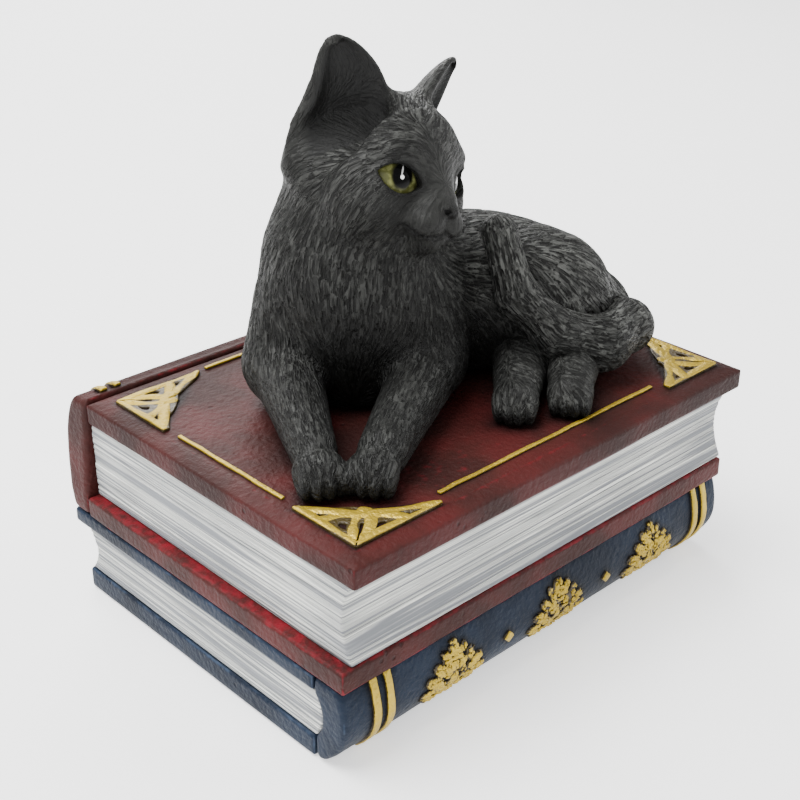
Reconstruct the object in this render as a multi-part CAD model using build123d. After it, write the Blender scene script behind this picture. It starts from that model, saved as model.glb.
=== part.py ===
"""Lidded keepsake box: a resting black cat on two stacked old books.

The lid is the cat with the upper book's top board and page block.  It lifts straight off the
base, which is the upper book's spine and lower board on the whole of the lower book.
Millimetres, +Z up, origin on the floor under the middle of the object, fore-edge side to -Y.
"""
from build123d import *
import os

os.makedirs("parts", exist_ok=True)

# ------------------------------------------------------------------ driving dimensions
book_length = 140.0  # along the spines
board_depth = 103.3  # upper book's top board, fore-edge to spine joint
spine_bulge = 9.6  # how far the upper book's rounded back stands out past the joint
base_shift_x = 2.5  # the base stands out this far to the left of the lid
base_shift_y = 1.5  # and its front lies this far behind the lid's

lower_board = 6.5  # thicknesses, from the floor up
lower_pages = 12.9
middle_board = 4.3  # lower book's upper board
seat_board = 5.9  # upper book's lower board, which the lid sits on
upper_pages = 21.1
top_board = 6.4

board_edge_round = 0.7
top_pages_inset = 0.8  # pages behind the boards' ends, head and tail
right_pages_inset = 2.3  # the lid's pages at the right-hand end
fore_edge_inset = 2.2  # pages behind the boards' front edge
fore_edge_hollow = 3.0  # depth of the fore-edges' hollow curve
lower_fore_edge_inset = 5.0
lower_cover_depth = 109.5  # lower book's upper board, from the front edge to the fore-edge
lower_board_short = 4.5  # the lowest board ends this much sooner at the fore-edge
lower_spine_wall = 7.6
lower_spine_bulge = 4.0  # how far the rounded front stands out past its top and bottom edges
lower_spine_lean = 4.6  # the foot of the lower spine is this much further in than its top
lower_spine_top_out = 2.0  # its top edge stands this far in front of the bulge's depth
lower_spine_hinge = 3.0  # groove side of the lower spine, behind its wall
lower_spine_fullest = 0.58  # share of its height at which it stands out furthest
lower_spine_slopes = ((0, -1.6, 1), (0, 0.55, 1))  # at the foot and at the head
page_round = 2.4  # how far the page block's back rounds into the spine

upper_spine_shoulder = 0.6  # share of the bulge that the top edge is set in by
upper_spine_full_drop = 14.0  # the fullest line below the top
upper_spine_foot_in = 2.8  # the foot is set in from the fullest line by this much
upper_spine_slopes = ((0, 1, -0.1), (0, -0.45, -1))

cavity_end_wall = 16.75  # from the cavity to the shorter of the two overlapping ends
cavity_side_wall = 17.65  # from the cavity to the lid's front edge and to the spine joint
lid_hollow_depth = 12.0
rim_wall = 3.0
rim_depth = 2.5
fit_clearance = 0.5  # lid rim to cavity wall, and lid to the upper book's back

felt_radius = 6.0
felt_thickness = 1.5
felt_stand = 0.3  # how far a pad stands out of its recess
felt_inset = 14.0

ornament_height = 0.9
ornament_eye = 1.1
ornament_long = 26.0
ornament_short = 21.5
ornament_inset = 5.5
ornament_inset_right = 3.8  # the right-hand pieces sit nearer the board's end
fillet_width = 1.3
fillet_height = 0.6
fillet_inset = 9.5  # front line from the board's edge
fillet_back_inset = 5.0
fillet_end_inset = 7.0
fillet_gap = 2.5  # between a fillet's end and the corner ornament
fillet_side_gap = 4.5

relief = 1.1  # how far the spines' gilt work stands out
relief_lower_ends = (1.0, 0.3)  # bands stop this far from the lower spine's foot and head
relief_upper_ends = (2.0, 1.0)  # and from the upper spine's
past_spine = 9.0  # cutters reach this far beyond a spine's face
band_width = 2.6
band_gap = 1.6
band_inset_left = 8.5
band_inset_right = 5.5
foliage_width = 22.0
foliage_height = 17.0
foliage_pitch = 37.3
foliage_shift = 2.0  # the middle sprig from the spine's middle
lozenge_size = 3.6
lower_gilt_height = 0.55  # share of the lower spine's height at which its sprigs sit

# ------------------------------------------------------------------ places that follow
z_floor = felt_stand
z_pages = lower_board
z_middle = z_pages + lower_pages
z_seat = z_middle + middle_board
z_lid = z_seat + seat_board
z_top_board = z_lid + upper_pages
z_top = z_top_board + top_board

left = -(book_length + base_shift_x) / 2 + base_shift_x  # lid's left end
right = left + book_length
front = -(board_depth + spine_bulge + fit_clearance + relief) / 2
joint = front + board_depth
base_left = left - base_shift_x
base_right = base_left + book_length
base_front = front + base_shift_y
spine_inner = joint + fit_clearance
back = joint + fit_clearance + spine_bulge
cavity_centre_x = (left + base_right) / 2
cavity_centre_y = (front + joint) / 2
cavity_length = base_right - left - 2 * cavity_end_wall
cavity_width = board_depth - 2 * cavity_side_wall
lower_front = base_front + lower_spine_bulge
lower_back = base_front + lower_cover_depth

nodes = {}


def box(x0, x1, y0, y1, z0, z1):
    """A block between two corners."""
    return Pos((x0 + x1) / 2, (y0 + y1) / 2, (z0 + z1) / 2) * Box(x1 - x0, y1 - y0, z1 - z0)


def along_x(edges, x0, x1):
    """A closed outline in Y and Z, made solid from x0 to x1."""
    outline = make_face(edges)
    return Pos(x0, 0, 0) * extrude(outline, amount=x1 - x0, dir=(1, 0, 0))


def yz(y, z):
    return (0, y, z)


def ellipsoid(centre, radii, yaw=0.0, pitch=0.0, roll=0.0):
    """An ellipsoid turned about X by roll, then Y by pitch, then Z by yaw."""
    ball = scale(Sphere(1), by=radii)
    return Pos(*centre) * Rot(0, 0, yaw) * Rot(0, pitch, 0) * Rot(roll, 0, 0) * ball


def limb(start, end, r_start, r_end):
    """A tapered round-ended limb between two points."""
    a, b = Vector(*start), Vector(*end)
    axis = b - a
    align = (Align.CENTER, Align.CENTER, Align.MIN)
    if r_start == r_end:
        shaft = Cylinder(r_start, axis.length, align=align)
    else:
        shaft = Cone(r_start, r_end, axis.length, align=align)
    return Pos(a) * Sphere(r_start) + Pos(b) * Sphere(r_end) + Plane(origin=a, z_dir=axis) * shaft


def on_lid(x, y, z):
    """A point measured from the lid's front left corner and its top face."""
    return (left + x, front + y, z_top + z)


# ------------------------------------------------------------------ lower book
felt_x = book_length / 2 - felt_inset
felt_y0 = lower_front + lower_spine_lean + felt_inset
felt_y1 = lower_back - lower_board_short - felt_inset
felt_places = [
    (side * felt_x - base_shift_x / 2, y, z_floor - felt_stand)
    for side in (-1, 1)
    for y in (felt_y0, felt_y1)
]
felt_pad = Cylinder(felt_radius, felt_thickness, align=(Align.CENTER, Align.CENTER, Align.MIN))
nodes["felt_pads"] = Compound([Pos(*place) * felt_pad for place in felt_places])

foot_y = lower_front + lower_spine_lean
head_y = lower_front - lower_spine_top_out
lower_spine_outer = [
    Spline(
        [yz(foot_y, z_floor), yz(base_front, z_seat * lower_spine_fullest), yz(head_y, z_seat)],
        tangents=lower_spine_slopes,
    )
]
spine_joint_y = base_front + lower_spine_wall + lower_spine_hinge
lower_spine_inner = ThreePointArc(
    yz(spine_joint_y, z_middle),
    yz(spine_joint_y - page_round, (z_middle + z_pages) / 2),
    yz(spine_joint_y, z_pages),
)
lower_spine_edges = lower_spine_outer + [
    Line(yz(head_y, z_seat), yz(spine_joint_y, z_seat)),
    Line(yz(spine_joint_y, z_seat), yz(spine_joint_y, z_middle)),
    lower_spine_inner,
    Line(yz(spine_joint_y, z_pages), yz(spine_joint_y, z_floor)),
    Line(yz(spine_joint_y, z_floor), yz(foot_y, z_floor)),
]
nodes["lower_book_spine"] = along_x(lower_spine_edges, base_left, base_right)

lowest = box(base_left, base_right, spine_joint_y, lower_back - lower_board_short, z_floor, z_pages)
for place in felt_places:
    lowest -= Pos(*place) * felt_pad
nodes["lower_book_lower_board"] = lowest

cavity = box(
    cavity_centre_x - cavity_length / 2,
    cavity_centre_x + cavity_length / 2,
    cavity_centre_y - cavity_width / 2,
    cavity_centre_y + cavity_width / 2,
    z_pages,
    z_lid,
)
middle = box(base_left, base_right, spine_joint_y, lower_back, z_middle, z_seat)
nodes["lower_book_upper_board"] = middle - cavity

lower_fore_y = lower_back - lower_fore_edge_inset
lower_page_edges = [
    lower_spine_inner,
    Line(yz(spine_joint_y, z_pages), yz(lower_fore_y, z_pages)),
    ThreePointArc(
        yz(lower_fore_y, z_pages),
        yz(lower_fore_y - fore_edge_hollow, (z_pages + z_middle) / 2),
        yz(lower_fore_y, z_middle),
    ),
    Line(yz(lower_fore_y, z_middle), yz(spine_joint_y, z_middle)),
]
pages_left = base_left + top_pages_inset
pages_right = base_right - top_pages_inset
nodes["lower_book_pages"] = along_x(lower_page_edges, pages_left, pages_right) - cavity

# ------------------------------------------------------------------ upper book, base side
seat = box(base_left, base_right, base_front, spine_inner, z_seat, z_lid)
nodes["upper_book_lower_board"] = seat - cavity

spine_shoulder = back - spine_bulge * upper_spine_shoulder
spine_foot = back - upper_spine_foot_in
fullest_z = z_top - upper_spine_full_drop
upper_spine_outer = [
    Spline(
        [yz(spine_shoulder, z_top), yz(back, fullest_z), yz(spine_foot, z_seat)],
        tangents=upper_spine_slopes,
    )
]
upper_spine_edges = upper_spine_outer + [
    Line(yz(spine_foot, z_seat), yz(spine_inner, z_seat)),
    Line(yz(spine_inner, z_seat), yz(spine_inner, z_top)),
    Line(yz(spine_inner, z_top), yz(spine_shoulder, z_top)),
]
upper_spine = along_x(upper_spine_edges, base_left, base_right)
end_slope = make_face(
    Polyline(
        [(base_left, 0, z_lid), (base_left, 0, z_top), (left, 0, z_top)],
        close=True,
    )
)
slope_cut = extrude(end_slope, amount=2 * past_spine + spine_bulge, dir=(0, 1, 0))
upper_spine -= Pos(0, spine_inner - past_spine, 0) * slope_cut
nodes["upper_book_spine"] = upper_spine


# ------------------------------------------------------------------ lid: board, pages and rim
def hollow_box(depth_from, depth_to):
    """The space inside the lid's rim, between two heights."""
    reach_x = cavity_length / 2 - fit_clearance - rim_wall
    reach_y = cavity_width / 2 - fit_clearance - rim_wall
    return box(
        cavity_centre_x - reach_x,
        cavity_centre_x + reach_x,
        cavity_centre_y - reach_y,
        cavity_centre_y + reach_y,
        depth_from,
        depth_to,
    )


page_front = front + fore_edge_inset
upper_page_edges = [
    Line(yz(joint, z_lid), yz(joint, z_top_board)),
    Line(yz(joint, z_top_board), yz(page_front, z_top_board)),
    ThreePointArc(
        yz(page_front, z_top_board),
        yz(page_front + fore_edge_hollow, (z_lid + z_top_board) / 2),
        yz(page_front, z_lid),
    ),
    Line(yz(page_front, z_lid), yz(joint, z_lid)),
]
upper_pages_solid = along_x(upper_page_edges, left + top_pages_inset, right - right_pages_inset)
nodes["upper_book_pages"] = upper_pages_solid - hollow_box(z_lid, z_lid + lid_hollow_depth)

rim_x = cavity_length / 2 - fit_clearance
rim_y = cavity_width / 2 - fit_clearance
rim = box(
    cavity_centre_x - rim_x,
    cavity_centre_x + rim_x,
    cavity_centre_y - rim_y,
    cavity_centre_y + rim_y,
    z_lid - rim_depth,
    z_lid,
)
nodes["lid_rim"] = rim - hollow_box(z_lid - rim_depth, z_lid)

board = box(left, right, front, joint, z_top_board, z_top)
rounded = board.edges().filter_by(Axis.Y, reverse=True).filter_by(GeomType.LINE)
nodes["upper_book_top_board"] = fillet(rounded.sort_by(Axis.Y)[:4], board_edge_round)


# ------------------------------------------------------------------ gilt work on the top board
def corner_ornament(tip_x, tip_y):
    """A flat three-lobed corner piece; its legs run from the right angle to the two tips."""

    def share(x, y):
        return (tip_x * x, tip_y * y)

    outline = [
        Line(share(0, 0), share(1, 0)),
        Spline([share(1, 0), share(0.72, 0.2), share(0.5, 0.4)]),
        Line(share(0.5, 0.4), share(0.42, 0.42)),
        Line(share(0.42, 0.42), share(0.4, 0.5)),
        Spline([share(0.4, 0.5), share(0.2, 0.72), share(0, 1)]),
        Line(share(0, 1), share(0, 0)),
    ]
    plate = extrude(make_face(outline), amount=ornament_height)
    eye = Cylinder(ornament_eye, 3 * ornament_height)
    for place in (share(0.2, 0.2), share(0.55, 0.13), share(0.13, 0.55)):
        plate -= Pos(*place) * eye
    return plate


# The two left-hand pieces have their long leg along X, the two right-hand ones along Y.
corners = {
    "front_left": (left, front, 1, 1, ornament_long, ornament_short),
    "front_right": (right, front, -1, 1, ornament_short, ornament_long),
    "back_left": (left, joint, 1, -1, ornament_long, ornament_short),
    "back_right": (right, joint, -1, -1, ornament_short, ornament_long),
}
for name, (x, y, sign_x, sign_y, leg_x, leg_y) in corners.items():
    inset_x = ornament_inset if sign_x > 0 else ornament_inset_right
    place = Pos(x + sign_x * inset_x, y + sign_y * ornament_inset, z_top)
    nodes[f"corner_ornament_{name}"] = place * corner_ornament(sign_x * leg_x, sign_y * leg_y)

half = fillet_width / 2
line_top = z_top + fillet_height
x_from = left + ornament_inset + ornament_long + fillet_gap
x_to = right - ornament_inset_right - ornament_short - fillet_gap
line_front = front + fillet_inset
line_back = joint - fillet_back_inset
line_left = left + fillet_end_inset
line_right = right - fillet_end_inset
reach_left = ornament_inset + ornament_short + fillet_side_gap
reach_right = ornament_inset + ornament_long + fillet_side_gap
fillet_lines = {
    "gilt_line_front": (x_from, x_to, line_front - half, line_front + half),
    "gilt_line_back": (x_from, x_to, line_back - half, line_back + half),
    "gilt_line_left": (line_left - half, line_left + half, front + reach_left, joint - reach_left),
    "gilt_line_right": (line_right - half, line_right + half, front + reach_right, joint - reach_right),
}
for name, (x0, x1, y0, y1) in fillet_lines.items():
    nodes[name] = box(x0, x1, y0, y1, z_top, line_top)


# ------------------------------------------------------------------ gilt work on the spines
def shell_over(profile_edges, facing_y):
    """The thin layer that lies on a spine's rounded face, over the spine's whole length."""
    solid = along_x(profile_edges, base_left, base_right)
    return Pos(0, facing_y * relief, 0) * solid - solid


def foliage_outline(x, z):
    """A pointed leaf cluster, wide below its middle, in the X and Z plane."""
    w = foliage_width / 2
    h = foliage_height / 2
    points = [(x, z + h), (x + w * 0.75, z + h * 0.3), (x + w, z - h * 0.35), (x, z - h)]
    mirrored = [(x - w, z - h * 0.35), (x - w * 0.75, z + h * 0.3)]
    return [(px, 0, pz) for px, pz in points + mirrored]


def lozenge_outline(x, z):
    r = lozenge_size / 2
    return [(x + r, 0, z), (x, 0, z + r), (x - r, 0, z), (x, 0, z - r)]


def stamp(outline, shell, y_from, y_to):
    """The part of a thin layer that lies within an outline."""
    face = make_face(Polyline(outline, close=True))
    prism = Pos(0, y_from, 0) * extrude(face, amount=y_to - y_from, dir=(0, 1, 0))
    return shell & prism


spine_centre = (base_left + base_right) / 2 + foliage_shift
ahead = base_front - past_spine
behind = back + past_spine
lower_foot, lower_head = z_floor + relief_lower_ends[0], z_seat - relief_lower_ends[1]
upper_foot, upper_head = z_seat + relief_upper_ends[0], z_top - relief_upper_ends[1]
lower_shell = shell_over(lower_spine_edges, -1)
lower_shell &= box(base_left, base_right, ahead, foot_y, lower_foot, lower_head)
upper_shell = shell_over(upper_spine_edges, 1)
upper_shell &= box(base_left, base_right, spine_shoulder, behind, upper_foot, upper_head)

for book, shell, z_mid, y_from, y_to in (
    ("lower_book", lower_shell, z_seat * lower_gilt_height, ahead, foot_y),
    ("upper_book", upper_shell, (z_seat + z_top) / 2, spine_shoulder, behind),
):
    for end, x_start in (
        ("left", base_left + band_inset_left),
        ("right", base_right - band_inset_right - 2 * band_width - band_gap),
    ):
        strips = []
        for step in range(2):
            x = x_start + step * (band_width + band_gap)
            strips.append(shell & box(x, x + band_width, y_from, y_to, 0, z_top))
        nodes[f"{book}_band_pair_{end}"] = Compound([s.solids()[0] for s in strips])
    for count, step in enumerate((-1, 0, 1)):
        x = spine_centre + step * foliage_pitch
        sprig = stamp(foliage_outline(x, z_mid), shell, y_from, y_to)
        nodes[f"{book}_foliage_{count + 1}"] = sprig
    pair = []
    for step in (-0.5, 0.5):
        x = spine_centre + step * foliage_pitch
        pair += stamp(lozenge_outline(x, z_mid), shell, y_from, y_to).solids()
    nodes[f"{book}_lozenges"] = Compound(pair)

# ------------------------------------------------------------------ cat
# Measured from the lid's front left corner, with heights above the board the cat lies on.
head_yaw = 6.2
head_pitch = 6.4
head_roll = 16.6
head_centre = Vector(*on_lid(62.3, 58.8, 57.4))
head_radii = (22.0, 20.5, 19.5)  # across, front to back, up
muzzle_radii = (8.5, 8.0, 7.2)
eye_radius = 5.4
eye_out = 10.2
eye_forward = 13.6
eye_up = 0.5
muzzle_forward = 18.0
muzzle_drop = 8.0
ear_root = (13.0, 3.0, 11.5)  # out, back and up from the head's centre
ear_splay = 19.0
ear_height = 20.5
ear_base = 13.5
ear_tip = 3.0
ear_wall = 2.2
ear_cup_floor = 5.5
ear_flatness = 0.5

torso_masses = {  # centre, radii and yaw
    "chest": ((56, 64, 24), (26, 24, 33), -45),
    "ribs": ((78, 66, 19.5), (33, 23, 21.5), -12),
    "loin": ((100, 56, 18), (27, 25, 22), -15),
}
neck_limb = ((55, 67, 34), (58, 64, 52), 20, 18)  # from, to and the two radii
haunch_mass = ((104, 45, 15), (21, 17, 19), -30)
leg_limbs = {
    "cat_near_hind_paw": ((71.5, 23.5, 5.8), (90, 38, 8), 5.8, 7.5),
    "cat_far_hind_paw": ((85.5, 16.5, 5.7), (102, 30, 8), 5.7, 7.5),
    "cat_right_foreleg": ((14.2, 29.3, 6.5), (34.5, 68, 9.5), 6.5, 9.0),
    "cat_left_foreleg": ((25.3, 21.5, 6.5), (64, 44, 9.5), 6.5, 9.0),
}
tail_points = [
    (124, 38, 10),
    (120, 25, 10),
    (106, 22, 10.5),
    (94, 28, 15),
    (87, 35.5, 25),
    (86.5, 41, 39),
]
tail_radii = [6.2, 6.2, 5.8, 5.2, 4.5, 3.6]

face_turn = Rot(0, 0, head_yaw) * Rot(-head_pitch, 0, 0) * Rot(0, head_roll, 0)
head_frame = Pos(head_centre) * face_turn

skull = head_frame * scale(Sphere(1), by=head_radii)
muzzle = head_frame * Pos(0, -muzzle_forward, -muzzle_drop) * scale(Sphere(1), by=muzzle_radii)
head = skull + muzzle
for name, side in (("right", -1), ("left", 1)):
    ball = head_frame * Pos(side * eye_out, -eye_forward, eye_up) * Sphere(eye_radius)
    nodes[f"cat_{name}_eye"] = ball
    head -= ball
nodes["cat_head"] = head


def ear(side):
    """A hollow-fronted ear, leaning out from the skull on one side."""
    out, backward, up = ear_root
    lean = Pos(side * out, backward, up) * Rot(0, side * ear_splay, 0)
    align = (Align.CENTER, Align.CENTER, Align.MIN)
    flat = (1, ear_flatness, 1)
    outer = scale(Cone(ear_base, ear_tip, ear_height, align=align), by=flat)
    hollow = Cone(ear_base - ear_wall, ear_tip - ear_wall, ear_height - ear_wall, align=align)
    cup = Pos(0, -ear_wall, ear_cup_floor) * scale(hollow, by=flat)
    return head_frame * lean * (outer - cup)


for name, side in (("right", -1), ("left", 1)):
    shape = ear(side) - skull
    nodes[f"cat_{name}_ear"] = max(shape.solids(), key=lambda s: s.volume)



def limb_on_lid(start, end, r_start, r_end):
    return limb(on_lid(*start), on_lid(*end), r_start, r_end)


torso = limb_on_lid(*neck_limb)
for centre, radii, yaw in torso_masses.values():
    torso += ellipsoid(on_lid(*centre), radii, yaw=yaw)
haunch_centre, haunch_radii, haunch_yaw = haunch_mass
haunch = ellipsoid(on_lid(*haunch_centre), haunch_radii, yaw=haunch_yaw)
room = 2 * head_radii[0]  # the cat's parts reach no further than this past or below the board
ground = box(left - room, right + room, front - room, joint + room, z_top - room, z_top)

tail = limb_on_lid(*tail_points[:2], *tail_radii[:2])
for count in range(1, len(tail_points) - 1):
    tail += limb_on_lid(*tail_points[count : count + 2], *tail_radii[count : count + 2])

nodes["cat_torso"] = torso - ground - head
nodes["cat_tail"] = tail - ground - torso
nodes["cat_haunch"] = haunch - ground - torso - tail
blocked = torso + haunch + tail
for name, sizes in leg_limbs.items():
    leg = limb_on_lid(*sizes)
    nodes[name] = leg - ground - blocked
    blocked += leg

for name in fillet_lines:  # on a small board a gilt line stops where the cat lies on it
    nodes[name] -= blocked

# Trimming one solid of the cat against another can leave crumbs, which are dropped.
for name in ("cat_haunch", "cat_tail", "cat_torso", *leg_limbs):
    nodes[name] = max(nodes[name].solids(), key=lambda solid: solid.volume)

for name, shape in nodes.items():
    export_step(shape, f"parts/{name}.step")
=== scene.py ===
"""Lidded keepsake box: a resting black cat on two stacked old books.

Each piece is sculpted as a distance field in millimetres, skinned, and painted by its material.
Fields are negative inside.  The cat is measured from the lid's front left corner and its top face.
"""
from functools import reduce
from math import cos, pi, radians, sin, sqrt

import bpy
import numpy as np
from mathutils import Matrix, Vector


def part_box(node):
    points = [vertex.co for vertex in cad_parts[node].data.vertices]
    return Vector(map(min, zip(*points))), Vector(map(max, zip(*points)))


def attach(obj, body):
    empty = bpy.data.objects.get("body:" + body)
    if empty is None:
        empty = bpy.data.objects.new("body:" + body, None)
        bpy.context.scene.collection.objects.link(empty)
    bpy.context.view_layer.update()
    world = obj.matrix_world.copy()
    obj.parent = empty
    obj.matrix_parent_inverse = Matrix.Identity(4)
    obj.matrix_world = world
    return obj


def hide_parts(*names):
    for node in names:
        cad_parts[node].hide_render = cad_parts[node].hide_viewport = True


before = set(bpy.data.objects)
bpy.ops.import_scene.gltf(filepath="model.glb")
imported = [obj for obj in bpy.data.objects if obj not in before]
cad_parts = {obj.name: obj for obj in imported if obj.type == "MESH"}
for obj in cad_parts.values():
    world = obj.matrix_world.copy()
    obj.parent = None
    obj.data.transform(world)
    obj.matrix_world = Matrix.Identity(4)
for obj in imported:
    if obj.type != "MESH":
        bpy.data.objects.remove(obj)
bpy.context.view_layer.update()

MM = 0.001

bl_info = {
    "name": "Cat on Books Keepsake Box",
    "version": (1, 0, 0),
    "blender": (4, 5, 0),
    "location": "View3D > Sidebar > Keepsake",
    "description": "Sculpts and paints a cast keepsake box with a resting cat on two books",
    "category": "Object",
}


# ------------------------------------------------------------------ places from the frame
def extent(node):
    """Lowest and highest corner of a CAD node, in millimetres."""
    low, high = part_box(node)
    return np.array(low) / MM, np.array(high) / MM


TOP_LOW, TOP_HIGH = extent("upper_book_top_board")
LEAF_LOW, LEAF_HIGH = extent("upper_book_pages")
SEAT_HIGH = extent("upper_book_lower_board")[1]
BACK_LOW, BACK_HIGH = extent("upper_book_spine")
LOWLEAF_LOW, LOWLEAF_HIGH = extent("lower_book_pages")
FOOT_LOW, FOOT_HIGH = extent("lower_book_lower_board")
NAVY_LOW, NAVY_HIGH = extent("lower_book_spine")
RIM_LOW, RIM_HIGH = extent("lid_rim")

LID = np.array([TOP_LOW[0], TOP_LOW[1], TOP_HIGH[2]])
FIT = 0.5  # lid rim to cavity wall
CAVITY_LOW = np.array([RIM_LOW[0] - FIT, RIM_LOW[1] - FIT, FOOT_HIGH[2]])
CAVITY_HIGH = np.array([RIM_HIGH[0] + FIT, RIM_HIGH[1] + FIT, SEAT_HIGH[2] + 1])
LID_HOLLOW = 12.0  # how far the hollow goes up into the upper book's leaves
RIM_WALL = 3.0


def colour(red, green, blue):
    """A display colour, 0 to 255, as the linear colour that sockets take."""

    def linear(value):
        share = value / 255
        return share / 12.92 if share <= 0.04045 else ((share + 0.055) / 1.055) ** 2.4

    return (linear(red), linear(green), linear(blue), 1.0)


def paint_property(name, description, default):
    return bpy.props.FloatVectorProperty(
        name=name, description=description, default=default, size=4, min=0, max=1, subtype="COLOR"
    )


class KeepsakeSizes(bpy.types.PropertyGroup):
    """Sizes of the sculpted detail."""

    cat_cell: bpy.props.FloatProperty(
        name="Cat cell", description="Mesh cell of the cat before it is halved, mm", default=0.98, min=0.6
    )
    book_cell: bpy.props.FloatProperty(
        name="Book cell", description="Mesh cell of the boards and spines, mm", default=0.8, min=0.4
    )
    gilt_cell: bpy.props.FloatProperty(
        name="Gilt cell", description="Mesh cell of the gilt work, mm", default=0.26, min=0.15
    )
    fur_depth: bpy.props.FloatProperty(
        name="Fur depth", description="Depth of the carved fur, mm", default=0.34, min=0
    )
    edge_round: bpy.props.FloatProperty(
        name="Edge round", description="Radius of the boards' worn edges, mm", default=0.7, min=0.2
    )
    page_groove: bpy.props.FloatProperty(
        name="Page groove", description="Depth of the grooves between leaves, mm", default=0.3, min=0
    )


class KeepsakeColours(bpy.types.PropertyGroup):
    """Paint colours."""

    fur_dark: paint_property("Fur", "Charcoal in the fur's grooves", colour(9, 9, 8))
    # This grey is dry brushing, and on upward faces it is also painted top light.
    fur_light: paint_property("Fur dry brush", "Grey on the fur's ridges", colour(88, 89, 86))
    maroon: paint_property("Maroon", "Upper book's cover", colour(56, 27, 24))
    maroon_worn: paint_property("Maroon worn", "Bright red on worn edges", colour(108, 18, 29))
    # This colour is painted shade: under the cat, round the gilt work and on the board's sides; it also
    # darkens the cast's pits.
    maroon_dark: paint_property("Maroon shade", "Airbrushed shade on the cover", colour(18, 11, 11))
    navy: paint_property("Navy", "Lower book's cover", colour(17, 27, 42))
    navy_worn: paint_property("Navy worn", "Pale navy on worn edges", colour(52, 65, 84))
    navy_dark: paint_property("Navy shade", "Shade round the gilt work", colour(8, 10, 15))
    leaf: paint_property("Leaves", "Off-white page edges", colour(222, 223, 216))
    # The wash colour also serves as painted shade where the leaves meet the boards.
    leaf_wash_and_shade: paint_property("Leaf wash", "Blue-grey wash in the page grooves", colour(84, 88, 98))
    gilt: paint_property("Gilt", "Gold paint", colour(178, 150, 36))
    gilt_wash: paint_property("Gilt wash", "Dark wash in the gilt's recesses", colour(30, 20, 6))
    iris: paint_property("Iris", "Yellow-green of the eyes", colour(74, 76, 38))
    felt: paint_property("Felt", "Pads under the box", colour(26, 34, 30))


# ------------------------------------------------------------------ fields
def rotation(yaw, pitch, roll):
    """Turn about Z by yaw, after X by pitch, after Y by roll, in degrees."""
    y, p, r = radians(yaw), radians(pitch), radians(roll)
    about_z = np.array([[cos(y), -sin(y), 0], [sin(y), cos(y), 0], [0, 0, 1]])
    about_x = np.array([[1, 0, 0], [0, cos(p), -sin(p)], [0, sin(p), cos(p)]])
    about_y = np.array([[cos(r), 0, sin(r)], [0, 1, 0], [-sin(r), 0, cos(r)]])
    return (about_z @ about_x @ about_y).astype(np.float32)


def length(vectors):
    return np.sqrt((vectors * vectors).sum(-1))


def unit(vectors):
    return vectors / np.maximum(length(vectors), 1e-6)[..., None]


def ball(p, centre, radii, turn=None):
    """An ellipsoid."""
    q = p - np.asarray(centre, np.float32)
    if turn is not None:
        q = q @ turn
    r = np.asarray(radii, np.float32)
    near = length(q / r)
    return near * (near - 1) / np.maximum(length(q / (r * r)), 1e-6)


def limb(p, start, end, r_start, r_end):
    """A tapered round-ended limb."""
    a, b = np.asarray(start, np.float32), np.asarray(end, np.float32)
    along = b - a
    share = np.clip(((p - a) @ along) / (along @ along), 0, 1)
    return length(p - a - share[..., None] * along) - (r_start + (r_end - r_start) * share)


def melt(first, second, width):
    """Both shapes, run together smoothly."""
    near = np.maximum(width - np.abs(first - second), 0) / width
    return np.minimum(first, second) - near * near * width / 4


def carve(first, second, width):
    """The first shape with the second taken out, with a soft edge."""
    return -melt(-first, second, width)


def overlap(first, second, width):
    """What is in both shapes, with a soft edge."""
    return -melt(-first, -second, width)


def block(p, low, high, edge):
    """A box between two corners with rounded edges."""
    low, high = np.asarray(low, np.float32), np.asarray(high, np.float32)
    q = np.abs(p - (low + high) / 2) - ((high - low) / 2 - edge)
    return length(np.maximum(q, 0)) + np.minimum(q.max(-1), 0) - edge


def outside(values, low, high):
    """How far values are outside a range; negative within it."""
    return np.abs(values - (low + high) / 2) - (high - low) / 2


def edge_distance(p, low, high):
    """For points on a box's faces, how far the nearest edge is."""
    return np.sort(np.maximum(-outside(p, low, high), 0), -1)[..., 1]


def bell(values, width, power=2):
    """1 where a value is 0, fading away over the width."""
    return np.exp(-((values / width) ** power))


def run_together(parts, width):
    """Several shapes, melted into one after another."""
    return reduce(lambda whole, part: melt(whole, part, width), parts)


LATTICE_SIZE = 48
LATTICE = np.random.default_rng(11).uniform(-1, 1, (LATTICE_SIZE,) * 3).astype(np.float32)


def grain(p, cell):
    """Smooth seeded noise from -1 to 1 with that cell, or one cell for each axis."""
    q = p / np.asarray(cell, np.float32)
    base = np.floor(q).astype(np.int32)
    share = q - base
    share = share * share * (3 - 2 * share)
    total = np.zeros(p.shape[:-1], np.float32)
    for corner in np.ndindex(2, 2, 2):
        weight = np.ones(p.shape[:-1], np.float32)
        for axis, step in enumerate(corner):
            weight *= share[..., axis] if step else 1 - share[..., axis]
        i, j, k = np.moveaxis((base + np.array(corner)) % LATTICE_SIZE, -1, 0)
        total += weight * LATTICE[i, j, k]
    return total


def strokes(p, flow, cell, reach, samples=5):
    """Noise smeared along the flow, for strokes of that width and length."""
    total = grain(p, cell)
    for step in range(1, samples + 1):
        shift = flow * (reach * step / samples)
        total = total + grain(p + shift, cell) + grain(p - shift, cell)
    return total / sqrt(2 * samples + 1)


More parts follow.
